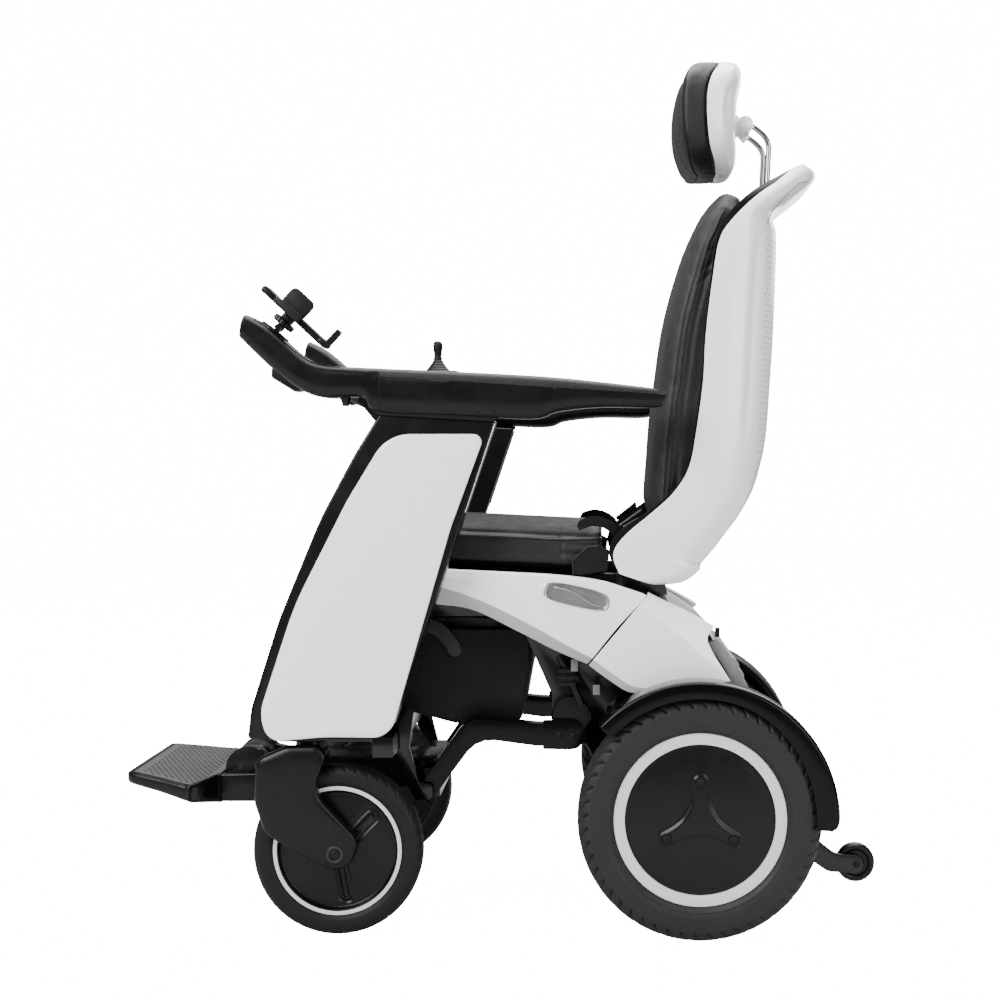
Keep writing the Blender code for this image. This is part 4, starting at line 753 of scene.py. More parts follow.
def along_route(route, pitch):
    """Evenly spaced (point, normal, direction) along a route of (point, normal)."""
    spots, left = [], pitch / 2
    for (start, normal), (end, _) in zip(route, route[1:]):
        run = end - start
        if run.length < 1e-7:
            continue
        while left < run.length:
            spots.append((start + run * (left / run.length), normal, run))
            left += pitch
        left -= run.length
    return spots


def stitches(name, route, pitch):
    spots = along_route(route, pitch)
    return repeated(name, "ball", spots, (pitch * 0.62, 0.0010, 0.0008), "stitch thread", 80.0)


def place_stitches(name, body, tree, lines, pitch):
    """Stitches on a surface, under lines that pass beside it."""
    meshes = [stitches(name, on_surface(tree, line, 0.0003), pitch) for line in lines]
    place(name, joined(name, *meshes), body, "stitch thread", "black_leather")


def place_piping(name, body, tree, line, lift, radius, closed=True, material="side leather"):
    """Piping on a surface, under a line that passes beside it."""
    route = [spot for spot, _ in on_surface(tree, line, lift)]
    place(name, tube(name, route, radius, 8, closed), body, material, "black_leather")


def screws(name, spots, radius=0.0042, height=0.003):
    """Button-head screws: a low round head with its recess."""
    heads = repeated(name, "ball", spots, (2 * radius, 2 * radius, height), "screw metal")
    # The recess is a matt black disc on the head: painted shade in the socket.
    socket_shade_spots = [(Vector(point) + Vector(normal) * height * 0.36, normal, run) for point, normal, run in spots]
    recess = repeated(name, "stud", socket_shade_spots, (radius * 0.9, radius * 0.9, height * 0.4), "matt black")
    bm = bmesh.new()
    bm.from_mesh(heads)
    first = len(bm.faces)
    bm.from_mesh(recess)
    bm.faces.ensure_lookup_table()
    for face in bm.faces[first:]:
        face.material_index = 1
    result = mesh_of(bm, name)
    for material in ("screw metal", "matt black"):
        result.materials.append(finish(material))
    return shade(result)


def place_screws(name, body, spots, radius, height):
    place_pair(name, screws(name, spots, radius, height), body, None, "black_steel")


# Soft pieces


def step_up(value, low, high):
    share = np.clip((value - low) / (high - low), 0.0, 1.0)
    return share * share * (3 - 2 * share)


def ridge(value, centre, width):
    return np.exp(-(((value - centre) / width) ** 2))


def points_of(mesh):
    points = np.empty(len(mesh.vertices) * 3)
    mesh.vertices.foreach_get("co", points)
    return points.reshape(-1, 3)


def normals_of(mesh):
    normals = np.empty(len(mesh.vertices) * 3, np.float32)
    mesh.vertex_normals.foreach_get("vector", normals)
    return normals.reshape(-1, 3).astype(float)


def set_points(mesh, points):
    mesh.vertices.foreach_set("co", np.ascontiguousarray(points, np.float32).ravel())
    mesh.update()


def stuffed(mesh, voxel, swell, freedom, pressure=4.0):
    """The form meshed evenly and blown up as a cloth bag, by at most swell where freedom is 1."""
    mesh = baked(mesh, [("REMESH", {"mode": "VOXEL", "voxel_size": voxel, "use_smooth_shade": True})])
    scene = bpy.context.scene
    holder = in_scene(mesh.name, mesh)
    cloth = holder.modifiers.new("stuffing", "CLOTH")
    cloth.settings.use_pressure = True
    cloth.settings.uniform_pressure_force = pressure
    cloth.settings.effector_weights.gravity = 0.0
    for number in range(1, STUFFING_FRAMES + 1):
        scene.frame_set(number)
    graph = bpy.context.evaluated_depsgraph_get()
    blown = points_of(holder.evaluated_get(graph).data)
    rest = points_of(mesh)
    bpy.data.objects.remove(holder)
    scene.frame_set(1)
    move = blown - rest
    length = np.linalg.norm(move, axis=1, keepdims=True)
    move *= np.minimum(1.0, swell / np.maximum(length, 1e-9)) * freedom(rest)[:, None]
    set_points(mesh, rest + move)
    return baked(mesh, [SUBDIVIDE], 80.0)


def soft_side(value, corner):
    return math.copysign(abs(value) ** (2 / corner), value)


def soft_oval(count, corner):
    """Points, as (across, up), round a rectangle with soft corners that reaches 1 each way."""
    angles = [2 * math.pi * step / count for step in range(count)]
    return [(soft_side(math.cos(angle), corner), soft_side(math.sin(angle), corner)) for angle in angles]


def pad_ring(centre, out, half_width, half_depth, crown, corner=5.0, count=56):
    """One section of a cushion: a soft rectangle across X whose outer face is crowned."""
    centre, out = Vector(centre), Vector(out).normalized()
    ring = []
    for index in range(count):
        angle = 2 * math.pi * (index + 0.5) / count
        across = soft_side(math.cos(angle), corner)
        depth = soft_side(math.sin(angle), corner)
        lift = crown * (1 - across * across) if depth > 0 else 0.0
        ring.append(centre + Vector((half_width * across, 0, 0)) + out * (half_depth * depth + lift))
    return ring


def wrinkle(points, scale, amount, stretch=(1.0, 1.0, 1.0)):
    """Soft uneven folds: a height for every point."""
    bend = Vector(stretch) * scale
    places = [Vector((x * bend.x, y * bend.y, z * bend.z)) for x, y, z in points]
    return amount * np.array([noise.noise(place) for place in places])


def two_leathers(mesh, is_panel, panel="panel leather"):
    """One leather on the faces that is_panel picks by their centres, side leather elsewhere."""
    mesh.materials.clear()
    for name in ("side leather", panel):
        mesh.materials.append(finish(name))
    centres = np.empty(len(mesh.polygons) * 3, np.float32)
    mesh.polygons.foreach_get("center", centres)
    index = is_panel(centres.reshape(-1, 3).astype(float)).astype(np.int32)
    mesh.polygons.foreach_set("material_index", index)


def seat_base(y):
    """Height of the cushion's underside."""
    return 0.5330 - math.tan(SEAT_TILT) * y


def build_seat(cushions):
    length = SEAT_BACK_Y - SEAT_FRONT_Y
    half = 0.0335
    rings = []
    for step in range(45):
        along = length * (0.5 - 0.5 * math.cos(math.pi * step / 44))
        end = min(1.0, along / 0.022, (length - along) / 0.006)
        swell = 0.30 + 0.70 * math.sqrt(max(end, 0.0))
        y = SEAT_FRONT_Y + 0.001 + along * (length - 0.002) / length
        middle = seat_base(y) + half * swell + 0.15 * half * (1 - swell) + 0.0008
        rings.append(pad_ring((0, y, middle), (0, 0, 1), 0.2095 * (0.93 + 0.07 * swell), half * swell, 0.006))

    def over_base(points):
        return points[:, 2] - seat_base(points[:, 1])

    def freedom(points):
        up = over_base(points)
        return 0.2 + 0.8 * step_up(up, 0.004, 0.03) * (1 - 0.6 * step_up(up, 0.050, 0.066))

    mesh = stuffed(loft("seat_cushion_cover", rings, 80.0), cushions.voxel, cushions.swell, freedom)
    points, normals = points_of(mesh), normals_of(mesh)
    up = over_base(points)
    on_side = 1 - step_up(np.abs(normals[:, 2]), 0.35, 0.8)
    sink = cushions.seam * (ridge(up, SEAT_PIPING, 0.0030) + 0.8 * ridge(up, 0.0100, 0.0030))
    for y in SEAT_SEAMS:
        sink = sink + cushions.seam * ridge(points[:, 1], y, 0.0026) * on_side * (up < SEAT_PIPING)
    behind_seam = step_up(points[:, 1], 0.098, 0.102)
    for height in (0.0300, 0.0445):
        sink = sink + cushions.seam * ridge(up, height, 0.0022) * on_side * behind_seam
    sink = sink - wrinkle(points, 9.0, 0.0011) * (0.35 + 0.65 * on_side)
    sink = sink - wrinkle(points, 28.0, 0.0007, (1, 1, 0.35)) * on_side
    set_points(mesh, points - normals * sink[:, None])
    # The seat's top gets the leather painted lighter, as painted light on its lit top.
    two_leathers(mesh, lambda c: over_base(c) > SEAT_PIPING)
    cover = place("seat_cushion_cover", mesh, "chassis", None, "black_leather", "seat_cushion")
    tree = surface_of(mesh)
    ring = []
    for across, along in soft_oval(160, 7.0):
        y = (SEAT_FRONT_Y + SEAT_BACK_Y) / 2 + 0.230 * along
        ring.append((0.222 * across, y, seat_base(y) + SEAT_PIPING + 0.0004))
    place_piping("seat_piping", "chassis", tree, ring, 0.0006, 0.0017)
    lines = []
    rear_seam, front_seam = SEAT_SEAMS
    for x in (-BESIDE_X, BESIDE_X):
        for y in (rear_seam - 0.005, rear_seam + 0.005, front_seam + 0.005):
            lines.append([(x, y, seat_base(y) + up) for up in np.linspace(0.016, 0.050, 12)])
        lines.append([(x, y, seat_base(y) + 0.0475) for y in np.linspace(0.106, 0.155, 16)])
    place_stitches("seat_stitches", "chassis", tree, lines, cushions.stitch)


# Up the front of the back cushion: y, z, the depth behind it and half the width
BACK_FRONT = [
    (0.2400, 0.6020, 0.050, 0.185),
    (0.2380, 0.6300, 0.072, 0.200),
    (0.2430, 0.7060, 0.080, 0.205),
    (0.2480, 0.7650, 0.082, 0.205),
    (0.2550, 0.8180, 0.082, 0.205),
    (0.2695, 0.9170, 0.080, 0.205),
    (0.2970, 1.0190, 0.076, 0.203),
    (0.3180, 1.0680, 0.067, 0.200),
    (0.3335, 1.0950, 0.057, 0.192),
    (0.3425, 1.1090, 0.046, 0.178),
    (0.3450, 1.1155, 0.038, 0.165),
]
# How far behind the back cushion's face its sewn seams run
BACK_SEAMS = (0.0150, 0.0340, 0.0620)


def back_rows(spans):
    """Places up the front of the back cushion: the point, the way out, the depth and half width."""
    rows = smooth(BACK_FRONT, spans)
    places = []
    for index, (y, z, depth, width) in enumerate(rows):
        before, after = beside(rows, index)
        along = Vector((0, after[0] - before[0], after[1] - before[1])).normalized()
        places.append((Vector((0, y, z)), Vector((0, -along.z, along.y)), depth, width))
    return places


def build_back_cushion(cushions):
    places = back_rows(5)
    inset = 0.0035
    rings = []
    for point, out, depth, width in places:
        centre = point - out * depth / 2
        half = max(depth / 2 - inset, 0.006)
        rings.append(pad_ring(centre, out, width - inset, half, 0.006, corner=6.0))
    form = loft("back_cushion_cover", rings, 80.0)
    front = np.array([tuple(point) for point, _, _, _ in places])
    outward = np.array([tuple(out) for _, out, _, _ in places])

    def behind(points):
        """How far each point lies behind the cushion's front."""
        gap = points[:, None, 1:] - front[None, :, 1:]
        nearest = (gap**2).sum(-1).argmin(1)
        return -(gap[np.arange(len(points)), nearest] * outward[nearest][:, 1:]).sum(1)

    def freedom(points):
        return 1 - 0.8 * step_up(behind(points), 0.05, 0.07)

    mesh = stuffed(form, cushions.voxel, cushions.swell * 0.8, freedom)
    points, normals = points_of(mesh), normals_of(mesh)
    reach = behind(points)
    on_side = step_up(np.abs(points[:, 0]), 0.178, 0.194)
    sink = np.zeros(len(points))
    for seam in BACK_SEAMS:
        sink = sink + cushions.seam * ridge(reach, seam, 0.0026) * on_side
    for z, lean in ((0.985, 0.9), (1.000, 0.6), (1.022, 0.3)):
        fold = points[:, 2] - z - lean * (reach - 0.045)
        sink = sink + 0.0022 * ridge(fold, 0.0, 0.0035) * on_side * step_up(reach, 0.018, 0.030)
    sink = sink - wrinkle(points, 8.0, 0.0012)
    sink = sink - wrinkle(points, 22.0, 0.0012, (1, 0.5, 1.6)) * on_side
    set_points(mesh, points - normals * sink[:, None])
    # The front faces get the leather painted lighter, as painted light from the key light.
    two_leathers(mesh, lambda c: behind(c) < BACK_SEAMS[0], "front leather")
    cover = place("back_cushion_cover", mesh, "back", None, "black_leather", "backrest_cushion")
    tree = surface_of(mesh)
    first, *others = BACK_SEAMS
    reaches = [first + 0.004, *(seam + step for seam in others for step in (-0.004, 0.004))]
    lines = []
    for x in (-BESIDE_X, BESIDE_X):
        for back in reaches:
            inner = [(point, out) for point, out, depth, _ in places[6:-6] if depth > back + 0.008]
            lines.append([point - out * back + Vector((x, 0, 0)) for point, out in inner])
    place_stitches("back_stitches", "back", tree, lines, cushions.stitch)
    for side, sign in SIDES:
        half = places[3:-3] if sign > 0 else places[3:-3][::-1]
        line = [point - out * first + Vector((sign * BESIDE_X, 0, 0)) for point, out, _, _ in half]
        place_piping("back_piping_" + side, "back", tree, line, 0.0004, 0.0016, closed=False)


# Heights up the headrest, each with y of the pad's face, the band's front, the seam and the shell's back
HEAD_VIEW = (
    (1.1560, 0.3140, 0.3150, 0.3450, 0.3600),
    (1.1590, 0.3050, 0.3075, 0.3430, 0.3680),
    (1.1680, 0.2960, 0.3005, 0.3385, 0.3745),
    (1.1870, 0.2885, 0.2950, 0.3305, 0.3775),
    (1.2120, 0.2820, 0.2905, 0.3262, 0.3765),
    (1.2450, 0.2800, 0.2885, 0.3242, 0.3780),
    (1.2750, 0.2825, 0.2895, 0.3258, 0.3800),
    (1.2990, 0.2900, 0.2935, 0.3325, 0.3850),
    (1.3170, 0.3010, 0.3015, 0.3430, 0.3860),
    (1.3285, 0.3130, 0.3130, 0.3495, 0.3820),
    (1.3335, 0.3250, 0.3250, 0.3510, 0.3700),
)
HEAD_HALF_WIDTH = 0.125
FRONT_PAD_TOP = 1.2950
# The crease down the shell's sides: heights, and y at each
HEAD_CREASE = (
    (1.1573, 1.1823, 1.2104, 1.2417, 1.2730, 1.3011),
    (0.3710, 0.3608, 0.3553, 0.3514, 0.3553, 0.3749),
)


def head_half(z):
    """Half the headrest's width at a height: its front view is a soft oval."""
    low, high = HEAD_VIEW[0][0] - 0.0012, HEAD_VIEW[-1][0] + 0.0012
    off_centre = min(abs(2 * z - low - high) / (high - low), 0.9999)
    return HEAD_HALF_WIDTH * (1 - off_centre**3) ** (1 / 3)


def build_head_pads(cushions):
    view = smooth(HEAD_VIEW, 4)
    band, front = [], []
    for z, face, step_y, seam, _ in view:
        depth = (seam + 0.004 - step_y) / 2
        half = head_half(z)
        band.append(pad_ring((0, step_y + depth, z), (0, -1, 0), half - 0.0042, depth, 0.001, 9.0, 40))
        if z < FRONT_PAD_TOP:
            thick = (step_y + 0.010 - face - 0.0015) / 2
            centre = (0, face + 0.0015 + thick, z)
            front.append(pad_ring(centre, (0, -1, 0), max(half - 0.014, 0.02), thick, 0.002, 4.0, 40))
    voxel, swell = cushions.voxel * 0.65, cushions.swell * 0.35
    body = stuffed(loft("headrest_band", band, 80.0), voxel, swell, lambda p: np.ones(len(p)))
    points, normals = points_of(body), normals_of(body)
    set_points(body, points + normals * wrinkle(points, 26.0, 0.0008)[:, None])
    back = place("headrest_band", body, "headrest", "side leather", "black_leather", "headrest_pad")
    pad = stuffed(loft("headrest_front_pad", front, 80.0), voxel, swell, lambda p: np.ones(len(p)))
    points, normals = points_of(pad), normals_of(pad)
    sink = cushions.seam * ridge(np.abs(points[:, 0]), 0.052, 0.003) * step_up(-normals[:, 1], 0.4, 0.8)
    sink = sink - wrinkle(points, 20.0, 0.0007)
    set_points(pad, points - normals * sink[:, None])
    # The front pad's lighter leather is painted light.
    cushion = place("headrest_front_pad", pad, "headrest", "front leather", "black_leather")
    edge = [(z, y) for z, _, y, _, _ in view if z < FRONT_PAD_TOP]
    ring = [(head_half(z) - 0.0075, y, z) for z, y in edge]
    ring += [(0.0075 - head_half(z), y, z) for z, y in reversed(edge)]
    tree = surface_of(body)
    # The piping takes the leather painted lighter for the light on the cushions.
    place_piping("headrest_piping", "headrest", tree, ring, 0.0003, 0.0013, material="panel leather")
    lines = [[(x, 0.2, z) for z in np.linspace(1.175, 1.295, 30)] for x in (-0.0570, -0.0470, 0.0470, 0.0570)]
    place_stitches("headrest_stitches", "headrest", surface_of(pad), lines, cushions.stitch * 0.8)


def build_arm_pads():
    stations = [
        (PAD_FRONT_Y + 0.0006, 0.8312),
        (-0.1520, 0.8318),
        (-0.0560, 0.8278),
        (0.0760, 0.8208),
        (0.1600, 0.8128),
        (0.2300, 0.8045),
        (0.2430, 0.8018),
    ]
    rings = []
    for y, top in smooth(stations, 8):
        base = pad_base(y) + 0.0003
        half = 0.0288 - 0.0045 * max(0.0, (y - 0.225) / 0.018)
        high = max(top, base + 0.004)
        side = []
        for step in range(9):
            angle = math.pi / 2 * step / 8
            side.append((half * math.sin(angle) ** 0.45, base + (high - base) * math.cos(angle) ** 0.62))
        side.append((half, base))
        ring = [(ARM_X + x, y, z) for x, z in side]
        rings.append(ring + [(ARM_X - x, y, z) for x, z in reversed(side)][:-1])
    mesh = baked(loft("arm_pad_cover", rings, 50.0), [bevel(0.0010, 2, 50), SUBDIVIDE], 60.0)
    for piece in place_pair("arm_pad_cover", mesh, "*_arm", "side leather", "black_leather", "arm_pad_*"):
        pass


def build_belts():
    """The lap belts' seen parts, the side pockets, and the brackets beside them."""
    route = [
        (0.1935, 0.5290),
        (0.1930, 0.5600),
        (0.1880, 0.5800),
        (0.1790, 0.5960),
        (0.1640, 0.6050),
        (0.1480, 0.6075),
        (0.1330, 0.6030),
        (0.1260, 0.5960),
    ]
    spots = smooth(route, 8)
    rows = []
    for share in np.linspace(-1.0, 1.0, 9):
        row = []
        for index, (y, z) in enumerate(spots):
            before, after = beside(spots, index)
            run = Vector(after) - Vector(before)
            half = BELT_WIDTH / 2 * min(1.0, 0.25 + (len(spots) - 1 - index) / 10)
            side = Vector((-run.y, run.x)).normalized() * half * share
            row.append((0.2005 + 0.003 * share, y + side.x, z + side.y))
        rows.append(row)
    strap = skin("lap_belt_strap", rows, BELT_THICKNESS, rim=0.0006)
    place_pair("lap_belt_strap", strap, "chassis", "belt webbing", "webbing", "lap_belt_*")
    corners = [(0.1175, 0.5270, 0.002), (0.1290, 0.5262, 0.002), (0.1700, 0.5330, 0.004)]
    corners += [(0.1735, 0.5640, 0.004), (0.1570, 0.5715, 0.005)]
    corners += [(0.1400, 0.5700, 0.006), (0.1160, 0.5500, 0.004)]
    pocket = plate("side_pocket", rounded(corners[::-1], 6), 0.2105, 0.2152, 0.0012)
    place_pair("side_pocket", pocket, "chassis", "pocket mesh", "webbing")
    bends = ((0.1190, 0.5280), (0.1180, 0.5490), (0.1405, 0.5690), (0.1560, 0.5700))
    hem = [(0.2152, y, z) for y, z in bends]
    place_pair("pocket_hem", tube("pocket_hem", hem, 0.0012, 8), "chassis", "side leather", "webbing")
    corners = [(0.1861, 0.5998), (0.2229, 0.6291), (0.2237, 0.6133), (0.1906, 0.5953)]
    bracket = plate("back_bracket", rounded([(y, z, 0.002) for y, z in corners], 4), 0.1985, 0.2005, 0.0004)
    place_pair("back_bracket", bracket, "back", "satin black", "black_steel")
    strips = []
    for start, end in (((0.1882, 0.6010), (0.2207, 0.6238)), ((0.1936, 0.5983), (0.2161, 0.6118))):
        strips.append(tube("bracket_strip", [(0.2008, *start), (0.2008, *end)], 0.0010, 8))
    place_pair("bracket_strips", joined("bracket_strips", *strips), "back", "moulded grey", "black_steel")


# Shells and covers

# Down the shell: y and z of its front edge, y and z of its back, half the width and the squareness
SHELL_ROWS = [
    (0.4480, 1.1400, 0.4800, 1.1575, 0.176, 3.4),
    (0.4300, 1.1240, 0.4980, 1.1410, 0.186, 3.4),
    (0.3920, 1.0950, 0.4640, 1.1120, 0.202, 3.4),
    (0.3570, 1.0600, 0.4340, 1.0860, 0.213, 3.0),
    (0.3380, 1.0300, 0.4370, 1.0500, 0.218, 3.1),
    (0.3280, 0.9760, 0.4360, 0.9930, 0.220, 3.2),
    (0.3170, 0.8870, 0.4315, 0.8910, 0.221, 3.3),
    (0.3130, 0.8180, 0.4270, 0.8280, 0.222, 3.4),
    (0.3030, 0.7440, 0.4190, 0.7320, 0.222, 3.6),
    (0.2920, 0.6890, 0.4020, 0.6610, 0.222, 4.0),
    (0.2700, 0.6520, 0.3770, 0.6150, 0.222, 4.6),
    (0.2370, 0.6210, 0.3570, 0.5890, 0.222, 5.2),
    (0.2020, 0.5920, 0.3370, 0.5630, 0.222, 5.6),
    (0.1830, 0.5700, 0.3110, 0.5350, 0.222, 6.0),
    (0.1790, 0.5520, 0.2830, 0.5150, 0.222, 6.0),
    (0.1880, 0.5290, 0.2420, 0.5110, 0.222, 6.0),
]
# How far the black lining stands out of the shell's front edge, row by row
LINING_EDGE = (0.0015, 0.0060, 0.0100, 0.0100, 0.0060, 0.0030, 0.0025, 0.0025)
LINING_EDGE += (0.0025, 0.0025, 0.0025, 0.0050, 0.0095, 0.0090, 0.0045, 0.0)
SHELL_CHEEK_ROW = 13


def shell_point(row, share, grow=0.0, full=1.0):
    """A point of the shell's outer face, at a share of the way round from right to left."""
    front_y, front_z, rear_y, rear_z, half, squareness = row
    angle = math.pi * (share - 0.5)
    back = min(1.0, abs(math.cos(angle)) ** (2 / squareness) / full)
    run = Vector((rear_y - front_y, rear_z - front_z)).normalized() * grow
    x = (half + grow) * soft_side(math.sin(angle), squareness)
    return (x, front_y + (rear_y + run.x - front_y) * back, front_z + (rear_z + run.y - front_z) * back)


def shares(columns):
    """Shares of the way round, closer together where the wall turns the corner."""
    return [0.5 - 0.5 * math.cos(math.pi * step / columns) for step in range(columns + 1)]


def build_back_shell(shell):
    spans = 5
    rows = smooth(SHELL_ROWS, spans)
    across = shares(72)
    grid = []
    for index, row in enumerate(rows):
        full = 0.89 if index >= SHELL_CHEEK_ROW * spans else 1.0
        dip = 0.0035 * float(step_up(row[3], 0.70, 0.78) * (1 - step_up(row[3], 1.02, 1.06)))
        dips = [-dip * ridge(0.5 - abs(share - 0.5), 0.150, 0.020) for share in across]
        grid.append([shell_point(row, share, grow, full) for share, grow in zip(across, dips)])

    def keep(i, j):
        middle = (across[j] + across[j + 1]) / 2
        return i < SHELL_CHEEK_ROW * spans or not 0.25 < middle < 0.75

    mesh = skin("back_shell", grid, shell.wall, keep=keep, rim=shell.rim)
    place("back_shell", mesh, "back", "white cover", "white_plastic", "backrest_shell")
    outer = surface_of(mesh)
    edge_line = [(0.478, 1.127), (0.462, 1.120), (0.442, 1.102)]
    edge_line += [(0.426, 1.084), (0.416, 1.066), (0.413, 1.058)]
    hits = [from_side(outer, y, z)[0] for y, z in smooth(edge_line, 4)]
    line = tube("shell_handle_line", [hit for hit in hits if hit], 0.0008, 8)
    place_pair("shell_handle_line", line, "back", "moulded grey", "white_plastic")
    edges = smooth([(edge, 0.0) for edge in LINING_EDGE], spans)
    lining = []
    for index, (row, (edge, _)) in enumerate(zip(rows, edges)):
        before, after = beside(rows, index)
        run = Vector((after[0] - before[0], after[1] - before[1])).normalized()
        front = Vector(row[:2]) + Vector((run.y, -run.x)) * edge
        lining.append([shell_point((*front, *row[2:]), share, -shell.wall - 0.0006) for share in across])
    trim = skin("back_lining", lining, 0.0015, keep=keep, rim=0.0003)
    place("back_lining", trim, "back", "satin black", "black_plastic")
    build_rear_panel(shell, [row for row in rows if 0.700 < row[3] < 1.060])


def build_rear_panel(shell, rows):
    """The perforated panel on the shell's back, laid over some of the shell's rows."""
    panel = [[shell_point(row, share, 0.0007) for share in np.linspace(0.20, 0.80, 40)] for row in rows]
    mesh = skin("rear_panel", panel, 0.0006, rim=0.0002)
    place("rear_panel", mesh, "back", "white panel", "white_plastic")
    tree = surface_of(mesh)
    spots = []
    pitch = shell.hole_pitch
    rise = pitch * HEXAGON_RISE
    for level in range(int(0.335 / rise)):
        start = pitch / 2 if level % 2 else 0.0
        for step in range(-21, 22):
            x = step * pitch + start
            if abs(x) < 0.186:
                hit, normal, _, _ = tree.ray_cast(Vector((x, 0.60, 0.712 + level * rise)), Vector((0, -1, 0)))
                if hit:
                    spots.append((hit - normal * 0.00012, normal, Vector((1, 0, 0))))
    sizes = (2 * shell.hole_radius, 2 * shell.hole_radius, 0.0004)
    # Flat grey discs stand for the holes; their grey is painted shade inside each hole.
    holes = repeated("rear_perforations", "stud", spots, sizes, "flange grey")
    place("rear_perforations", holes, "back", "flange grey", "grey_plastic")


def cover_rows(stations, lines, spans, fold):
    """Rows down a cover through its stations. They run smoothly, but for the crease at line fold."""
    rows = []
    paths = [smooth([station[line] for station in stations], spans) for line in range(len(lines))]
    for points in zip(*paths):
        spots = [(x, y, z) for x, (y, z) in zip(lines, points)]
        rows.append(smooth(spots[: fold + 1], 4)[:-1] + smooth(spots[fold:], 4))
    return rows


def place_flange(name, rows):
    """The stepped border along a cover's lower edge, seen as a darker band."""
    strip = [[(x + 0.0006, y, z) for x, y, z in row] for row in rows]
    place_pair(name, skin(name, strip, 0.0012, rim=0.0003), "chassis", "flange grey", "white_plastic")


HANDLE_MIDDLE = (0.1245, 0.4960)
HANDLE_HALF = (0.0480, 0.0150)
HANDLE_TILT = math.radians(-13)
HANDLE_CORNER = 3.2


def build_side_covers():
    lines = (0.2165, 0.2225, 0.2270, 0.2315, 0.2305, 0.2210)
    edges = [
        ((-0.120, 0.5385), (-0.122, 0.513), (-0.124, 0.488)),
        ((-0.067, 0.5355), (-0.076, 0.509), (-0.086, 0.484)),
        ((0.015, 0.5315), (-0.010, 0.486), (-0.030, 0.475)),
        ((0.094, 0.527), (0.064, 0.449), (0.039, 0.442)),
        ((0.160, 0.5185), (0.108, 0.424), (0.092, 0.415)),
        ((0.2245, 0.4985), (0.1472, 0.4035), (0.1398, 0.3945)),
    ]
    stations = []
    for top, crease, lower in edges:
        shoulder = (top[0], top[1] - 0.006)
        middle = ((top[0] + crease[0]) / 2, (top[1] + crease[1]) / 2)
        stations.append(((top[0], top[1] + 0.001), top, shoulder, middle, crease, lower))
    rows = cover_rows(stations, lines, 8, 4)
    outline = [handle_point(run, rise) for run, rise in soft_oval(64, HANDLE_CORNER)]
    shell = skin("side_cover_shell", rows, 0.003, rim=0.0005)
    mesh = cut(shell, plate("handle_opening", outline, 0.200, 0.250))
    place_pair("side_cover_shell", mesh, "chassis", "white cover", "white_plastic", "side_cover_*")
    place_flange("side_cover_flange", [row[16:] for row in rows])
    tree = surface_of(skin("side_cover_face", rows, 0.003))
    place_pair("recess_handle", recess_handle(tree), "chassis", None, "white_plastic")


def handle_point(run, rise):
    """The y and z of a point of the handle's recess, whose edge lies at 1 each way."""
    along, up = HANDLE_HALF[0] * run, HANDLE_HALF[1] * rise
    c, s = math.cos(HANDLE_TILT), math.sin(HANDLE_TILT)
    return HANDLE_MIDDLE[0] + along * c - up * s, HANDLE_MIDDLE[1] + along * s + up * c


def recess_handle(tree):
    """A silver dish with a finger ridge, set in the side cover."""
    profile = [(1.04, -0.0012), (1.05, 0.0006), (1.02, 0.0012), (0.97, 0.0008)]
    profile += [(0.93, -0.0030), (0.88, -0.0065)]
    profile += [(0.80 - 0.05 * step, -0.0085) for step in range(16)] + [(0.0, -0.0085)]
    count = 72
    rings = []
    for share, depth in profile:
        ring = []
        for across, up in soft_oval(count, HANDLE_CORNER):
            run, rise = share * across, share * up
            y, z = handle_point(run, rise)
            hit = from_side(tree, y, z)[0]
            bar = ridge(rise, 0.42 - 0.95 * step_up(run, -0.35, 0.80), 0.20)
            bar = bar * (1 - step_up(share, 0.72, 0.90))
            ring.append(((hit.x if hit else 0.226) + depth + 0.0080 * bar, y, z))
        rings.append(ring)
    back = [(x - 0.0035, y, z) for x, y, z in rings[0]]
    bm = bmesh.new()
    rows = [[bm.verts.new(point) for point in ring] for ring in [back, *rings[:-1]]]
    tip = bm.verts.new(rings[-1][0])
    for row, following in zip(rows, rows[1:]):
        for index in range(count):
            next_one = (index + 1) % count
            bm.faces.new((row[index], row[next_one], following[next_one], following[index]))
    for index in range(count):
        bm.faces.new((rows[-1][index], rows[-1][(index + 1) % count], tip))
    bm.faces.new(rows[0])
    mesh = closed_mesh("recess_handle", bm, 60.0)
    for name in ("silver paint", "recess grey"):
        mesh.materials.append(finish(name))
    # Faces deep in the dish take the darker grey, painted shade in the recess.
    for face in mesh.polygons:
        hit = from_side(tree, *face.center.yz)[0]
        face.material_index = int(hit is not None and hit.x - face.center.x > 0.0068)
    return mesh


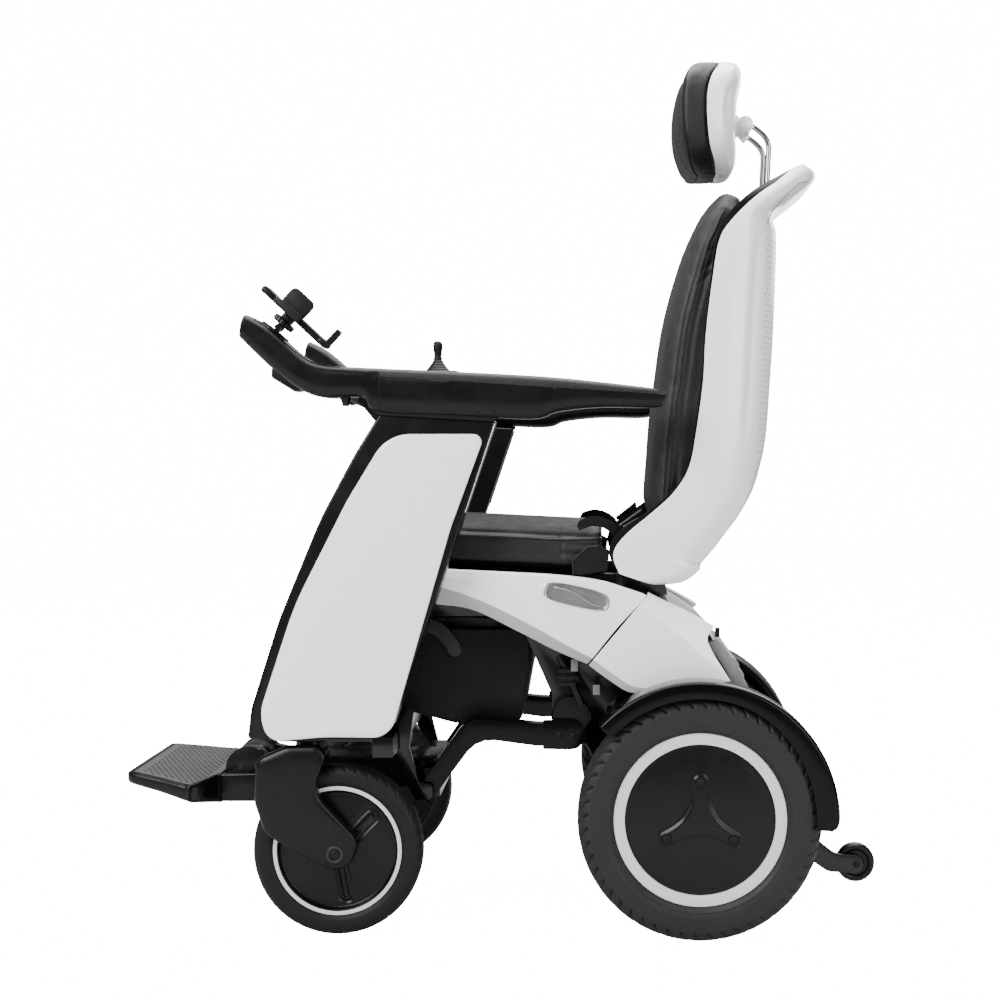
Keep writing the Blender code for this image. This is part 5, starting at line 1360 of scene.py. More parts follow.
def build_rear_covers():
    lines = (0.2045, 0.2130, 0.2240, 0.2315, 0.2310, 0.2285)
    edges = [
        ((0.2312, 0.5000), (0.2264, 0.4940), (0.2200, 0.4865), (0.1424, 0.3935)),
        ((0.2500, 0.4905), (0.2480, 0.4810), (0.2460, 0.4700), (0.1760, 0.3690)),
        ((0.2720, 0.4800), (0.2700, 0.4650), (0.2680, 0.4490), (0.2050, 0.3530)),
        ((0.2950, 0.4680), (0.2920, 0.4470), (0.2920, 0.4250), (0.2500, 0.3540)),
        ((0.3130, 0.4580), (0.3090, 0.4350), (0.3170, 0.4000), (0.3000, 0.3550)),
        ((0.3290, 0.4480), (0.3200, 0.4270), (0.3520, 0.3720), (0.3560, 0.3560)),
    ]
    stations = []
    for top, middle, crease, lower in edges:
        side = ((crease[0] + lower[0]) / 2, (crease[1] + lower[1]) / 2)
        stations.append(((top[0], top[1] + 0.001), top, middle, crease, side, lower))
    rows = cover_rows(stations, lines, 8, 3)
    mesh = skin("rear_cover_shell", rows, 0.003, rim=0.0005)
    place_pair("rear_cover_shell", mesh, "chassis", "white cover", "white_plastic", "rear_cover_*")
    place_flange("rear_cover_flange", [row[-2:] for row in rows])
    line = [(0.2640, 0.4800), (0.2850, 0.4680), (0.3080, 0.4530), (0.3250, 0.4390), (0.3340, 0.4250)]
    half = 0.204
    rows = []
    for x in np.linspace(-half, half, 25):
        rows.append([(x, y, z + 0.004 * (1 - (x / half) ** 2)) for y, z in smooth(line, 6)])
    mesh = skin("top_cover_shell", rows, 0.003, reverse=True, rim=0.0008)
    place("top_cover_shell", mesh, "chassis", "white cover", "white_plastic", "top_cover")
    build_tail()


def build_tail():
    """The ribbed panel between the rear covers, and the nub over it."""
    line = [(0.3330, 0.4300), (0.3400, 0.4235), (0.3525, 0.4090)]
    line += [(0.3670, 0.3850), (0.3765, 0.3600), (0.3785, 0.3510)]
    tail = smooth(line, 24)
    outline = []
    for y, z in tail:
        down = max(0.0, 0.4020 - z) / 0.0170
        rib = 0.0042 * abs(math.sin(math.pi * down)) ** 0.5
        outline.append((y + 0.92 * rib, z + 0.38 * rib))
    outline += [(y - 0.0165, z - 0.0075) for y, z in reversed(tail[::8])]
    ribs = plate("tail_ribs", outline, -0.205, 0.205, 0.0007, 2)
    place("tail_ribs", ribs, "chassis", "tail grey", "grey_plastic", "tail_panel")
    nub = tube("tail_nub", [(0.150, 0.3390, 0.4280), (0.150, 0.3392, 0.4418)], 0.0038, 16)
    place("tail_nub", nub, "chassis", "satin black", "black_plastic")


def build_headrest(cushions):
    rows = []
    for z, _, _, seam, rear in reversed(smooth(HEAD_VIEW, 4)):
        row = []
        crease = np.interp(z, *HEAD_CREASE)
        for share in shares(72):
            angle = math.pi * (share - 0.5)
            across = soft_side(math.sin(angle), 3.3)
            bulge = abs(math.cos(angle)) ** 0.6
            reach = rear - seam - 0.001
            dish = 0.0030 * float(ridge(abs(across), 0.45, 0.13) * ridge(z, 1.25, 0.045))
            y = seam + 0.001 + reach * bulge - dish * bulge
            waist = 1 - 0.045 * float(step_up(y, crease - 0.0015, crease + 0.0015))
            row.append((head_half(z) * across * waist, y, z))
        rows.append(row)
    mesh = skin("headrest_bowl", rows, 0.003, rim=0.0010)
    place("headrest_bowl", mesh, "headrest", "white cover", "white_plastic", "headrest_shell")
    neck = []
    sections = ((0.0, 0.046, 0.026), (0.25, 0.036, 0.019), (0.6, 0.030, 0.0135), (1.0, 0.0285, 0.0115))
    for share, half, height in sections:
        y = 0.374 + 0.017 * share
        neck.append([(half * across, y, 1.240 + height * up) for across, up in soft_oval(32, 3.0)])
    hub_profile = there_and_back([(0.0052, 0.030), (0.0115, 0.030), (0.0128, 0.0285)])
    hub = revolve("headrest_hub", hub_profile, HEAD_AXIS, 40)
    mesh = joined("headrest_hub", loft("headrest_neck", neck), hub)
    place("headrest_hub", mesh, "headrest", "white cover", "white_plastic")
    build_head_rods()
    build_head_pads(cushions)


def build_head_rods():
    """The bent rod that carries the headrest, and its collars."""

    def post(z):
        return (ROD_X, 0.4265 + (z - 1.150) * math.tan(math.radians(2.5)), z)

    turns = ((0.4285, 1.200), (0.4240, 1.213), (0.4150, 1.223), (0.4020, 1.233))
    bend = [post(1.175), *((ROD_X, y, z) for y, z in turns)]
    half = [post(0.905), post(1.10), *smooth(bend, 6), (0.042, HEAD_AXIS.y, HEAD_AXIS.z)]
    route = half + [(-x, y, z) for x, y, z in reversed(half)]
    posts = tube("headrest_rods", route, 0.0045, 20)
    place("headrest_rods", posts, "headrest_bar", "bright chrome", "chrome", "headrest_posts")
    collar = tube("rod_collar", [(ROD_X, 0.388, 1.242), (ROD_X, 0.401, 1.227)], 0.0075, 24)
    place_pair("rod_collar", collar, "headrest_bar", "white cover", "white_plastic")


# Base


def build_steelwork():
    plain = {
        "seat_frame": "chassis",
        "front_frame": "chassis",
        "backrest_frame": "back",
        "recline_actuator": "actuator",
        "recline_rod": "rod",
    }
    for node, body in plain.items():
        material = "bright chrome" if node == "recline_rod" else "powder coat"
        place(node + "_steel", softened(node), body, material, "black_steel", node)
    lower = softened("lower_tube_left", 0.0030, 4)
    place_pair("lower_tube_steel", lower, "chassis", "deep black", "black_steel", "lower_tube_*")
    arm = softened("anti_tip_arm_left", 0.0012, 3)
    place_pair("anti_tip_arm_steel", arm, "chassis", "powder coat", "black_steel", "anti_tip_arm_*")
    fins = [(0.0, -0.0548), (0.047, -0.0548), (0.050, -0.0525)]
    for step in range(9):
        x = -0.0500 + 0.0085 * step
        fins += [(0.050, x), (0.050, x + 0.0040), (0.0468, x + 0.0045), (0.0468, x + 0.0080)]
    fins += [(0.050, 0.0285), (0.0475, 0.0300), (0.034, 0.0300), (0.034, 0.0400), (0.0, 0.0415)]
    shape = [(radius, x - 0.0852) for radius, x in fins]
    mesh = revolve("drive_motor_case", shape, DRIVE_CENTRE, 64, closed=False)
    place_pair("drive_motor_case", mesh, "chassis", "powder coat", "black_steel", "drive_motor_*")
    build_damper()


def build_damper():
    """The small damper, its clamps and the round pivot housing under each side cover, and two light tabs."""
    core = tube("damper_core", [(0.172, 0.097, 0.402), (0.172, 0.131, 0.326)], 0.0062, 16)
    slabs = [block("clamp", (0.1680, 0.0980, 0.3570), (0.1820, 0.1200, 0.3836), 0.001)]
    for step in range(3):
        low = 0.3566 + 0.0100 * step
        slabs.append(block("clamp", (0.1650, 0.0954, low), (0.1850, 0.1227, low + 0.0072), 0.0012))
    case = [(0.0, -0.0080), (0.0290, -0.0080), (0.0305, -0.0065)]
    case += [(0.0305, 0.0060), (0.0280, 0.0085), (0.0, 0.0095)]
    housing = revolve("pivot_housing", case, (0.150, 0.1150, 0.3085), 56, closed=False)
    mesh = joined("damper_core", core, housing, *slabs)
    place_pair("damper_core", mesh, "chassis", "satin black", "black_steel")
    tabs = [block("tab", (0.1852, 0.1151, 0.3793), (0.1870, 0.1257, 0.3975), 0.0006)]
    tabs.append(block("tab", (0.1780, 0.1484, 0.3429), (0.1800, 0.1590, 0.3581), 0.0006))
    place_pair("light_tabs", joined("light_tabs", *tabs), "chassis", "tail grey", "black_steel")


def build_fenders():
    section = [
        (0.2330, 0.1815),
        (0.2330, 0.1985),
        (0.2600, 0.2005),
        (0.3000, 0.2015),
        (0.3110, 0.2005),
        (0.3145, 0.1965),
        (0.3145, 0.1770),
    ]
    bent = smooth([(0.2338, 0.1980), *section[2:5]], 5)
    dense = [section[0], (0.2330, 0.1950), *bent, (0.3138, 0.1985), *section[5:]]
    inner = dense[-1][1]
    rows = []
    for degrees in [-4, -3.5, -3, -2.3, -1.5, -0.5, 0.7, *np.linspace(2.0, 137.0, 70)]:
        share = 0.55 + 0.45 * math.sqrt(1 - min(1.0, (2.0 - degrees) / 6.0) ** 2) if degrees < 2 else 1.0
        c, s = math.cos(math.radians(degrees)), math.sin(math.radians(degrees))
        radii = [inner + (r - inner) * share for _, r in dense]
        radii[-1] -= 0.0100 * (1 - float(step_up(degrees, 5, 80)))
        rows.append([(x, DRIVE_CENTRE.y + r * c, DRIVE_CENTRE.z + r * s) for (x, _), r in zip(dense, radii)])
    mesh = skin("wheel_arch", rows, 0.003, reverse=True, rim=0.0008)
    place_pair("wheel_arch", mesh, "chassis", "deep black", "black_plastic", "fender_*")


def build_pillars():
    corners = [
        (-0.1620, 0.7665, 0.004),
        (0.0075, 0.7565, 0.004),
        (-0.0370, 0.623, 0.30),
        (-0.1200, 0.379, 0.30),
        (-0.1420, 0.312, 0.015),
        (-0.1600, 0.2925, 0.010),
        (-0.2600, 0.2925, 0.050),
        (-0.3540, 0.2922, 0.006),
        (-0.3490, 0.337, 0.10),
        (-0.3080, 0.468, 0.50),
        (-0.2480, 0.614, 0.50),
        (-0.1990, 0.706, 0.20),
    ]
    outline = rounded(corners)
    body = plate("pillar_body", outline, 0.237, 0.285, 0.004)
    # A thin silver line along the pillar's rear edge is a painted highlight of that edge.
    edge = [(0.2838, y + 0.0002, z) for y, z in outline if y > -0.13 and 0.49 < z < 0.752]
    line = tube("pillar_edge", edge, 0.0011, 8)
    place_pair("pillar_edge", line, "chassis", "silver paint", "black_plastic")
    ears = []
    stem = [(-0.1925, 0.7840), (-0.1640, 0.7500), (-0.1500, 0.7500)]
    stem += [(-0.1500, 0.7630), (-0.1640, 0.7635), (-0.1820, 0.7800)]
    for low, high in ((0.2480, 0.2535), (0.2780, 0.2835)):
        ears.append(plate("ear_stem", stem, low + 0.0004, high - 0.0004, 0.0006))
        ears.append(disc("ear_end", 0.0070, low, high, -0.186, 0.786, 28))
    mesh = joined("pillar_body", body, *ears)
    place_pair("pillar_body", mesh, "chassis", "satin black", "black_plastic", "pillar_*")
    corners = [
        (-0.0080, 0.7365, 0.012),
        (-0.0580, 0.6000, 0.30),
        (-0.1230, 0.3750, 0.30),
        (-0.1460, 0.2950, 0.035),
        (-0.2400, 0.2965, 0.40),
        (-0.3230, 0.2890, 0.025),
        (-0.3360, 0.3300, 0.060),
        (-0.2850, 0.4880, 0.50),
        (-0.2080, 0.6410, 0.50),
        (-0.1500, 0.7365, 0.060),
    ]
    back_face = 0.2853
    crown = [(1.0, 0.0), (1.0, 0.0028), (0.997, 0.0040), (0.991, 0.0048), (0.95, 0.0054)]
    crown += [(0.80, 0.0068), (0.55, 0.0082), (0.25, 0.0090), (0.02, 0.0092)]
    profile = [(share, back_face + out) for share, out in crown]
    mesh = crowned_plate("pillar_cover", rounded(corners, 12), profile)
    place_pair("pillar_cover", mesh, "chassis", "white cover", "white_plastic", "pillar_panel_*")


def build_battery():
    tray = softened("battery_box", 0.0025, 3)
    place("battery_tray", tray, "chassis", "matt black", "black_plastic", "battery_box")
    pack = block("battery_case", (-0.1125, -0.1445, 0.3235), (0.1125, 0.039, 0.4345), 0.006, 4)
    place("battery_case", pack, "chassis", "moulded grey", "grey_plastic", "battery_pack")
    route = smooth([(-0.128, 0.440), (-0.108, 0.443), (-0.088, 0.434), (-0.072, 0.416), (-0.066, 0.405)], 8)
    half = 0.011
    outline = []
    for sign in (1, -1):
        edge = []
        for index, (y, z) in enumerate(route):
            (y0, z0), (y1, z1) = beside(route, index)
            run = math.hypot(y1 - y0, z1 - z0)
            edge.append((y - sign * half * (z1 - z0) / run, z + sign * half * (y1 - y0) / run))
        outline += edge if sign > 0 else edge[::-1]
        if sign > 0:
            run = (Vector(route[-1]) - Vector(route[-2])).normalized()
            for angle in np.linspace(0, math.pi, 9)[1:-1]:
                side = Vector((-run.y, run.x)) * math.cos(angle) + run * math.sin(angle)
                outline.append(tuple(Vector(route[-1]) + half * side))
    lever = plate("battery_handle", outline, 0.1198, 0.1262, 0.0022)
    profile = [(0.0, 0.1196), (0.0125, 0.1196), (0.0125, 0.1270), (0.0115, 0.1280), (0.0, 0.1280)]
    hub = revolve("lever_hub", profile, (0, -0.128, 0.440), 36, closed=False)
    mesh = joined("battery_handle", lever, hub)
    place("battery_handle", mesh, "lever", "dark grey", "grey_plastic", "battery_lever")


def build_footplate(grip):
    stations = [
        (-0.5720, 0.122, 0.2120, 0.2080),
        (-0.5705, 0.130, 0.2170, 0.2030),
        (-0.5600, 0.140, 0.2175, 0.1990),
        (-0.5150, 0.156, 0.2110, 0.1900),
        (-0.4740, 0.172, 0.2045, 0.1800),
        (-0.4620, 0.168, 0.2040, 0.1760),
        (-0.4450, 0.095, 0.2045, 0.1620),
        (-0.4388, 0.082, 0.2050, 0.1590),
    ]
    rings = []
    for y, half, top, bottom in smooth(stations, 6):
        ease = min(0.006, (top - bottom) / 3)
        ring = []
        corners = [(half, top, 1, 1), (half, bottom, 1, -1), (-half, bottom, -1, -1), (-half, top, -1, 1)]
        for x, z, sx, sz in corners:
            arc = []
            for step in range(5):
                angle = math.pi / 2 * step / 4
                arc.append((x - sx * ease * (1 - math.sin(angle)), y, z - sz * ease * (1 - math.cos(angle))))
            ring += arc if sx == sz else arc[::-1]
        rings.append(ring)
    parts = [loft("footplate_body", rings, 70.0)]
    parts.append(block("tongue", (-0.0330, -0.450, 0.178), (0.0330, -0.405, 0.2000), 0.002))
    knuckle = there_and_back([(0.0, -0.0350), (0.0325, -0.0350), (0.034, -0.0335)])
    parts.append(revolve("knuckle", knuckle, (0, -0.400, 0.208), 64, closed=False))
    for low, high in ((-0.0780, -0.0583), (0.0583, 0.0780)):
        parts.append(block("skirt", (low, -0.4420, 0.1605), (high, -0.3830, 0.2040), 0.003))
    body = shade(joined("footplate_body", *parts), 70.0)
    place("footplate_body", body, "foot", "satin black", "grey_plastic", "footplate")
    top_line = [(y, half, top) for y, half, top, _ in smooth(stations[2:], 6)]
    rows = []
    for y, half, top in top_line:
        rows.append([(share * (half - 0.009), y, top + 0.0010) for share in np.linspace(-1, 1, 25)])
    mat = skin("footplate_mat", rows, 0.0010, rim=0.0003)
    place("footplate_mat", mat, "foot", "mat grey", "grey_plastic")
    tree = surface_of(mat)
    spots = []
    for level in range(int(0.100 / grip.row_pitch)):
        y = -0.5460 + level * grip.row_pitch
        edge = np.interp(y, [row[0] for row in top_line], [row[1] for row in top_line]) - 0.018
        start = grip.bar_pitch / 2 if level % 2 else 0.0
        for step in range(-9, 10):
            x = step * grip.bar_pitch + start
            if abs(x) < edge:
                hit, normal, _, _ = tree.ray_cast(Vector((x, y, 0.30)), Vector((0, 0, -1)))
                if hit:
                    spots.append((hit, normal, Vector((1, 0, 0))))
    dots = repeated("footplate_dots", "ball", spots, (grip.bar_length, 0.0029, 0.0015), "matt black")
    place("footplate_dots", dots, "foot", "matt black", "grey_plastic")


# Wheels


def tyre_section(half):
    """A tyre's whole section from (radius, x) points of its outer half."""
    outer = smooth(half, 4)
    return outer[::-1] + [(radius, -x) for radius, x in outer[1:]]


def spoke_way(degrees):
    """The way a spoke points, as (up, back)."""
    return math.cos(math.radians(degrees)), math.sin(math.radians(degrees))


def spoke_gap(across, up, degrees, start, end):
    """How far points of a wheel's face lie from a spoke that runs between two radii."""
    way = spoke_way(degrees)
    reach = np.clip(across * way[0] + up * way[1], start, end)
    return np.hypot(across - reach * way[0], up - reach * way[1])


def build_wheel_covers(wheels):
    """The drive wheels' domed covers with their three-armed figure, and its screws."""
    lobes = (90, 208, 330)
    edge = 0.1078
    cover = [(0.0, 0.0326)]
    for step in range(1, 46):
        radius = edge * step / 45
        cover.append((radius, 0.0326 - 0.0062 * (radius / edge) ** 2.2))
    cover += [(0.1084, 0.0258), (0.1085, 0.0236), (0.0, 0.0236)]

    def figure(radii, along, angle):
        across, up = radii * np.cos(angle), radii * np.sin(angle)
        gaps = [spoke_gap(across, up, lobe, 0.0, 0.056) - 0.0125 for lobe in lobes]
        soft = -0.010 * np.log(sum(np.exp(-gap / 0.010) for gap in gaps)) + 0.0035
        lift = wheels.emboss * (1 - step_up(soft, -0.0035, 0.0035))
        groove = 0.0006 * ridge(radii, 0.1035, 0.0008)
        return radii, along + np.where(along > 0.0257, lift - groove, 0.0)

    mesh = revolve("drive_cover", cover, DRIVE_CENTRE, 240, figure, closed=False)
    place_pair("drive_cover", mesh, "drive_wheel_*", "satin black", "black_plastic")
    spots = []
    for lobe in lobes:
        c, s = spoke_way(lobe)
        point = DRIVE_CENTRE + Vector((0.0356, 0.0555 * c, 0.0555 * s))
        spots += side_spots(point.x, point.yz)
    place_screws("drive_screws", "drive_wheel_*", spots, 0.0056, 0.0044)
    # Dark discs under the screw heads are painted shadow rings.
    shadow_rings = repeated("screw_seats", "stud", spots, (0.0175, 0.0175, 0.0016), "deep black")
    place_pair("screw_seats", shadow_rings, "drive_wheel_*", "deep black", "black_plastic")


def build_drive_wheels(wheels):
    half = [
        (0.1780, 0.0),
        (0.1780, 0.0120),
        (0.1772, 0.0190),
        (0.1745, 0.0265),
        (0.1700, 0.0325),
        (0.1640, 0.0358),
        (0.1550, 0.0374),
        (0.1450, 0.0375),
        (0.1360, 0.0362),
        (0.1300, 0.0335),
        (0.1265, 0.0300),
    ]

    def tread(radii, along, angle):
        far = np.abs(along)
        phase = (angle * wheels.sipes / (2 * math.pi) + far * 55 * np.sign(along)) % 1.0
        slit = 1.5 * ridge(phase, 0.5, 0.105) * step_up(far, 0.0175, 0.0205) * step_up(radii, 0.1620, 0.1660)
        wave = 0.0018 * np.sin(angle * wheels.sipes / 2)
        centre = ridge(far, 0.0065 + wave, 0.0016) + ridge(far, 0.0150 + wave, 0.0018)
        sink = wheels.tread * np.clip(slit + centre * step_up(radii, 0.172, 0.175), 0, 1.5)
        rings = 0.0010 * (ridge(radii, 0.1605, 0.0012) + ridge(radii, 0.1325, 0.0010))
        rings = rings + 0.0006 * ridge(radii, 0.1400, 0.0012)
        return radii - sink, along + np.sign(along) * (rings - 0.45 * sink * step_up(far, 0.028, 0.034))

    tyre = revolve("drive_tyre_rubber", tyre_section(half), DRIVE_CENTRE, 648, tread, sharp=40.0)
    place_pair("drive_tyre_rubber", tyre, "drive_wheel_*", "tyre rubber", "tyre_rubber", "drive_tyre_*")
    barrel = [(0.0, 0.0240), (0.1085, 0.0240), (0.1085, 0.0200), (0.126, 0.0200), (0.126, -0.0285)]
    barrel += [(0.1215, -0.0290), (0.112, -0.0265), (0.080, -0.0190), (0.0500, -0.0140)]
    barrel += [(0.0410, -0.0300), (0.0400, -0.0425), (0.0385, -0.0432), (0.0, -0.0432)]
    rim = revolve("drive_rim_barrel", barrel, DRIVE_CENTRE, 96, closed=False)
    place_pair("drive_rim_barrel", rim, "drive_wheel_*", "satin black", "black_plastic", "drive_rim_*")
    ring = [(0.1092, 0.0205), (0.1092, 0.0296), (0.1099, 0.0304), (0.1160, 0.0310)]
    ring += [(0.1245, 0.0304), (0.1256, 0.0292), (0.1256, 0.0205)]
    mesh = revolve("drive_ring", ring, DRIVE_CENTRE, 128)
    place_pair("drive_ring", mesh, "drive_wheel_*", "ring paint", "white_plastic")
    build_wheel_covers(wheels)


def build_castors(wheels):
    half = [
        (0.1250, 0.0),
        (0.1250, 0.0070),
        (0.1242, 0.0120),
        (0.1222, 0.0175),
        (0.1180, 0.0218),
        (0.1120, 0.0238),
        (0.1060, 0.0240),
        (0.1000, 0.0225),
        (0.0955, 0.0190),
    ]

    def tread(radii, along, angle):
        far = np.abs(along)
        phase = (angle * 44 / (2 * math.pi) + far * 60 * np.sign(along)) % 1.0
        slit = ridge(phase, 0.5, 0.09) * step_up(far, 0.0110, 0.0135) * step_up(radii, 0.1165, 0.1195)
        centre = ridge(far, 0.0045, 0.0013) * step_up(radii, 0.121, 0.123)
        rings = 0.0006 * (ridge(radii, 0.1125, 0.0007) + ridge(radii, 0.1005, 0.0007))
        sink = 0.7 * wheels.tread * np.clip(slit + centre, 0, 1)
        return radii - sink, along + np.sign(along) * (rings - 0.4 * sink * step_up(far, 0.018, 0.022))

    tyre = revolve("castor_tyre_rubber", tyre_section(half), CASTOR_CENTRE, 440, tread, sharp=40.0)
    place_pair("castor_tyre_rubber", tyre, "castor_*", "castor rubber", "tyre_rubber", "castor_tyre_*")
    web = [(0.0, 0.0160), (0.0200, 0.0160), (0.0240, 0.0152)]
    web += [(0.0240 + 0.0590 * step / 56, 0.0150 - 0.0050 * step / 56) for step in range(1, 57)]
    web += [(0.0850, 0.0105), (0.0868, 0.0150), (0.0872, 0.0185)]
    web += [(0.0880, 0.0190), (0.0948, 0.0190), (0.0962, 0.0180)]

    def slots(radii, along, angle):
        across, up = radii * np.cos(angle), radii * np.sin(angle)
        sink = np.zeros_like(across)
        for lobe in (45, 162, 280):
            gap = spoke_gap(across, up, lobe, 0.030, 0.068)
            sink = sink + 0.0026 * ridge(gap, 0.0100, 0.0022) + 0.0048 * (1 - step_up(gap, 0.0025, 0.0060))
        flat = (radii > 0.0241) & (radii < 0.0830)
        return radii, along - np.sign(along) * np.where(flat, sink, 0.0)

    rim = revolve("castor_rim_web", there_and_back(web), CASTOR_CENTRE, 300, slots, closed=False, sharp=75.0)
    place_pair("castor_rim_web", rim, "castor_*", "satin black", "black_plastic", "castor_rim_*")
    ring = [(0.0889, 0.0185), (0.0890, 0.0200), (0.0916, 0.0205), (0.0945, 0.0200), (0.0947, 0.0185)]
    mesh = revolve("castor_ring", ring, CASTOR_CENTRE, 120)
    place_pair("castor_ring", mesh, "castor_*", "ring paint", "white_plastic")
    build_forks()


def build_forks():
    corners = [
        (-0.3440, 0.262, 0.020),
        (-0.2990, 0.2815, 0.030),
        (-0.2540, 0.2825, 0.012),
        (-0.2400, 0.270, 0.008),
        (-0.2600, 0.216, 0.040),
        (-0.1920, 0.143, 0.020),
        (-0.2060, 0.100, 0.026),
        (-0.2400, 0.103, 0.030),
        (-0.3300, 0.152, 0.030),
        (-0.3460, 0.200, 0.040),
    ]
    profile = [(1.0, 0.2672), (1.0, 0.2735), (0.993, 0.2768), (0.975, 0.2795), (0.94, 0.2815)]
    profile += [(0.87, 0.2828), (0.70, 0.2836), (0.35, 0.2840), (0.02, 0.2841)]
    arm = crowned_plate("fork_arm", rounded(corners), profile)
    crown = block("fork_crown", (0.212, -0.312, 0.2565), (0.275, -0.244, 0.2725), 0.004)
    boss = tube("fork_boss", [(0.240, -0.272, 0.270), (0.240, -0.272, 0.2852)], 0.019, 36)
    axle = tube("fork_axle", [(0.2563, -0.227, 0.125), (0.270, -0.227, 0.125)], 0.011, 24)
    mesh = joined("castor_fork_body", arm, crown, boss, axle)
    place_pair("castor_fork_body", mesh, "fork_*", "satin black", "black_plastic", "castor_fork_*")
    ring = [(0.0088, 0.0430), (0.0088, 0.0452), (0.0106, 0.0458), (0.0124, 0.0452), (0.0124, 0.0430)]
    mesh = revolve("castor_axle_ring", ring, CASTOR_CENTRE, 48)
    place_pair("castor_axle_ring", mesh, "fork_*", "dark grey", "black_steel")
    place_screws("castor_axle_bolt", "fork_*", side_spots(0.2842, (-0.227, 0.125)), 0.0072, 0.0040)


def build_rollers():
    profile = [(0.0, 0.0080), (0.0110, 0.0080), (0.0125, 0.0068), (0.0180, 0.0068), (0.0200, 0.0088)]
    profile += [(0.0230, 0.0100), (0.0262, 0.0094), (0.0283, 0.0072), (0.0290, 0.0040)]
    mesh = revolve("anti_tip_roller", there_and_back(profile), ROLLER_CENTRE, 64, closed=False)
    place_pair("anti_tip_roller", mesh, "tip_wheel_*", "satin black", "tyre_rubber", "anti_tip_wheel_*")
    spots = side_spots(0.2143, (0.543, 0.094), (0.377, 0.176))
    place_screws("anti_tip_bolts", "chassis", spots, 0.0065, 0.0036)


# Arms and controls

# Along an armrest: y and z of its top, y and z of its bottom
ARM_STATIONS = [
    (-0.3590, 0.9050, -0.3640, 0.8770),
    (-0.3540, 0.9095, -0.3590, 0.8720),
    (-0.3300, 0.8970, -0.3380, 0.8510),
    (-0.3090, 0.8810, -0.3150, 0.8300),
    (-0.2730, 0.8500, -0.2780, 0.8020),
    (-0.2420, 0.8370, -0.2420, 0.7895),
    (-0.1870, 0.8330, -0.1870, 0.7890),
    (-0.1600, 0.8320, -0.1640, 0.7690),
    (-0.0560, 0.8280, -0.0560, 0.7640),
    (0.0550, 0.8220, 0.0600, 0.7585),
    (0.0980, 0.8180, 0.0980, 0.7690),
    (0.1600, 0.8120, 0.1600, 0.7755),
    (0.2390, 0.8040, 0.2390, 0.7755),
    (0.2550, 0.7980, 0.2550, 0.7850),
]
# The armrest's section: the share of the way down, and half the width there
ARM_SECTION = [(0.0, 0.0), (0.0, 0.0175), (0.035, 0.0230), (0.10, 0.0265), (0.25, 0.0300)]
ARM_SECTION += [(0.45, 0.0302), (0.70, 0.0295), (0.88, 0.0262), (0.97, 0.0215), (1.0, 0.0165), (1.0, 0.0)]


def pad_base(y):
    """The height of the step under the elbow pad, which falls towards the rear."""
    return 0.8190 - 0.063 * (y - PAD_FRONT_Y)


def arm_ring(station, stepped):
    """One section of an armrest, its top cut down to the pad's step where it is stepped."""
    top_y, top_z, bottom_y, bottom_z = station
    ring = []
    for down, half in smooth(ARM_SECTION, 3):
        y, z = top_y + (bottom_y - top_y) * down, top_z + (bottom_z - top_z) * down
        ring.append((half, y, min(z, pad_base(y)) if stepped else z))
    left = [(ARM_X + x, y, z) for x, y, z in ring]
    return left + [(ARM_X - x, y, z) for x, y, z in reversed(ring)][1:-1]


def stand_up(mesh, spot):
    """Turns a shape made along X so that it rises from a spot."""
    mesh.transform(Matrix.Translation(spot) @ Matrix.Rotation(-math.pi / 2, 4, "Y"))


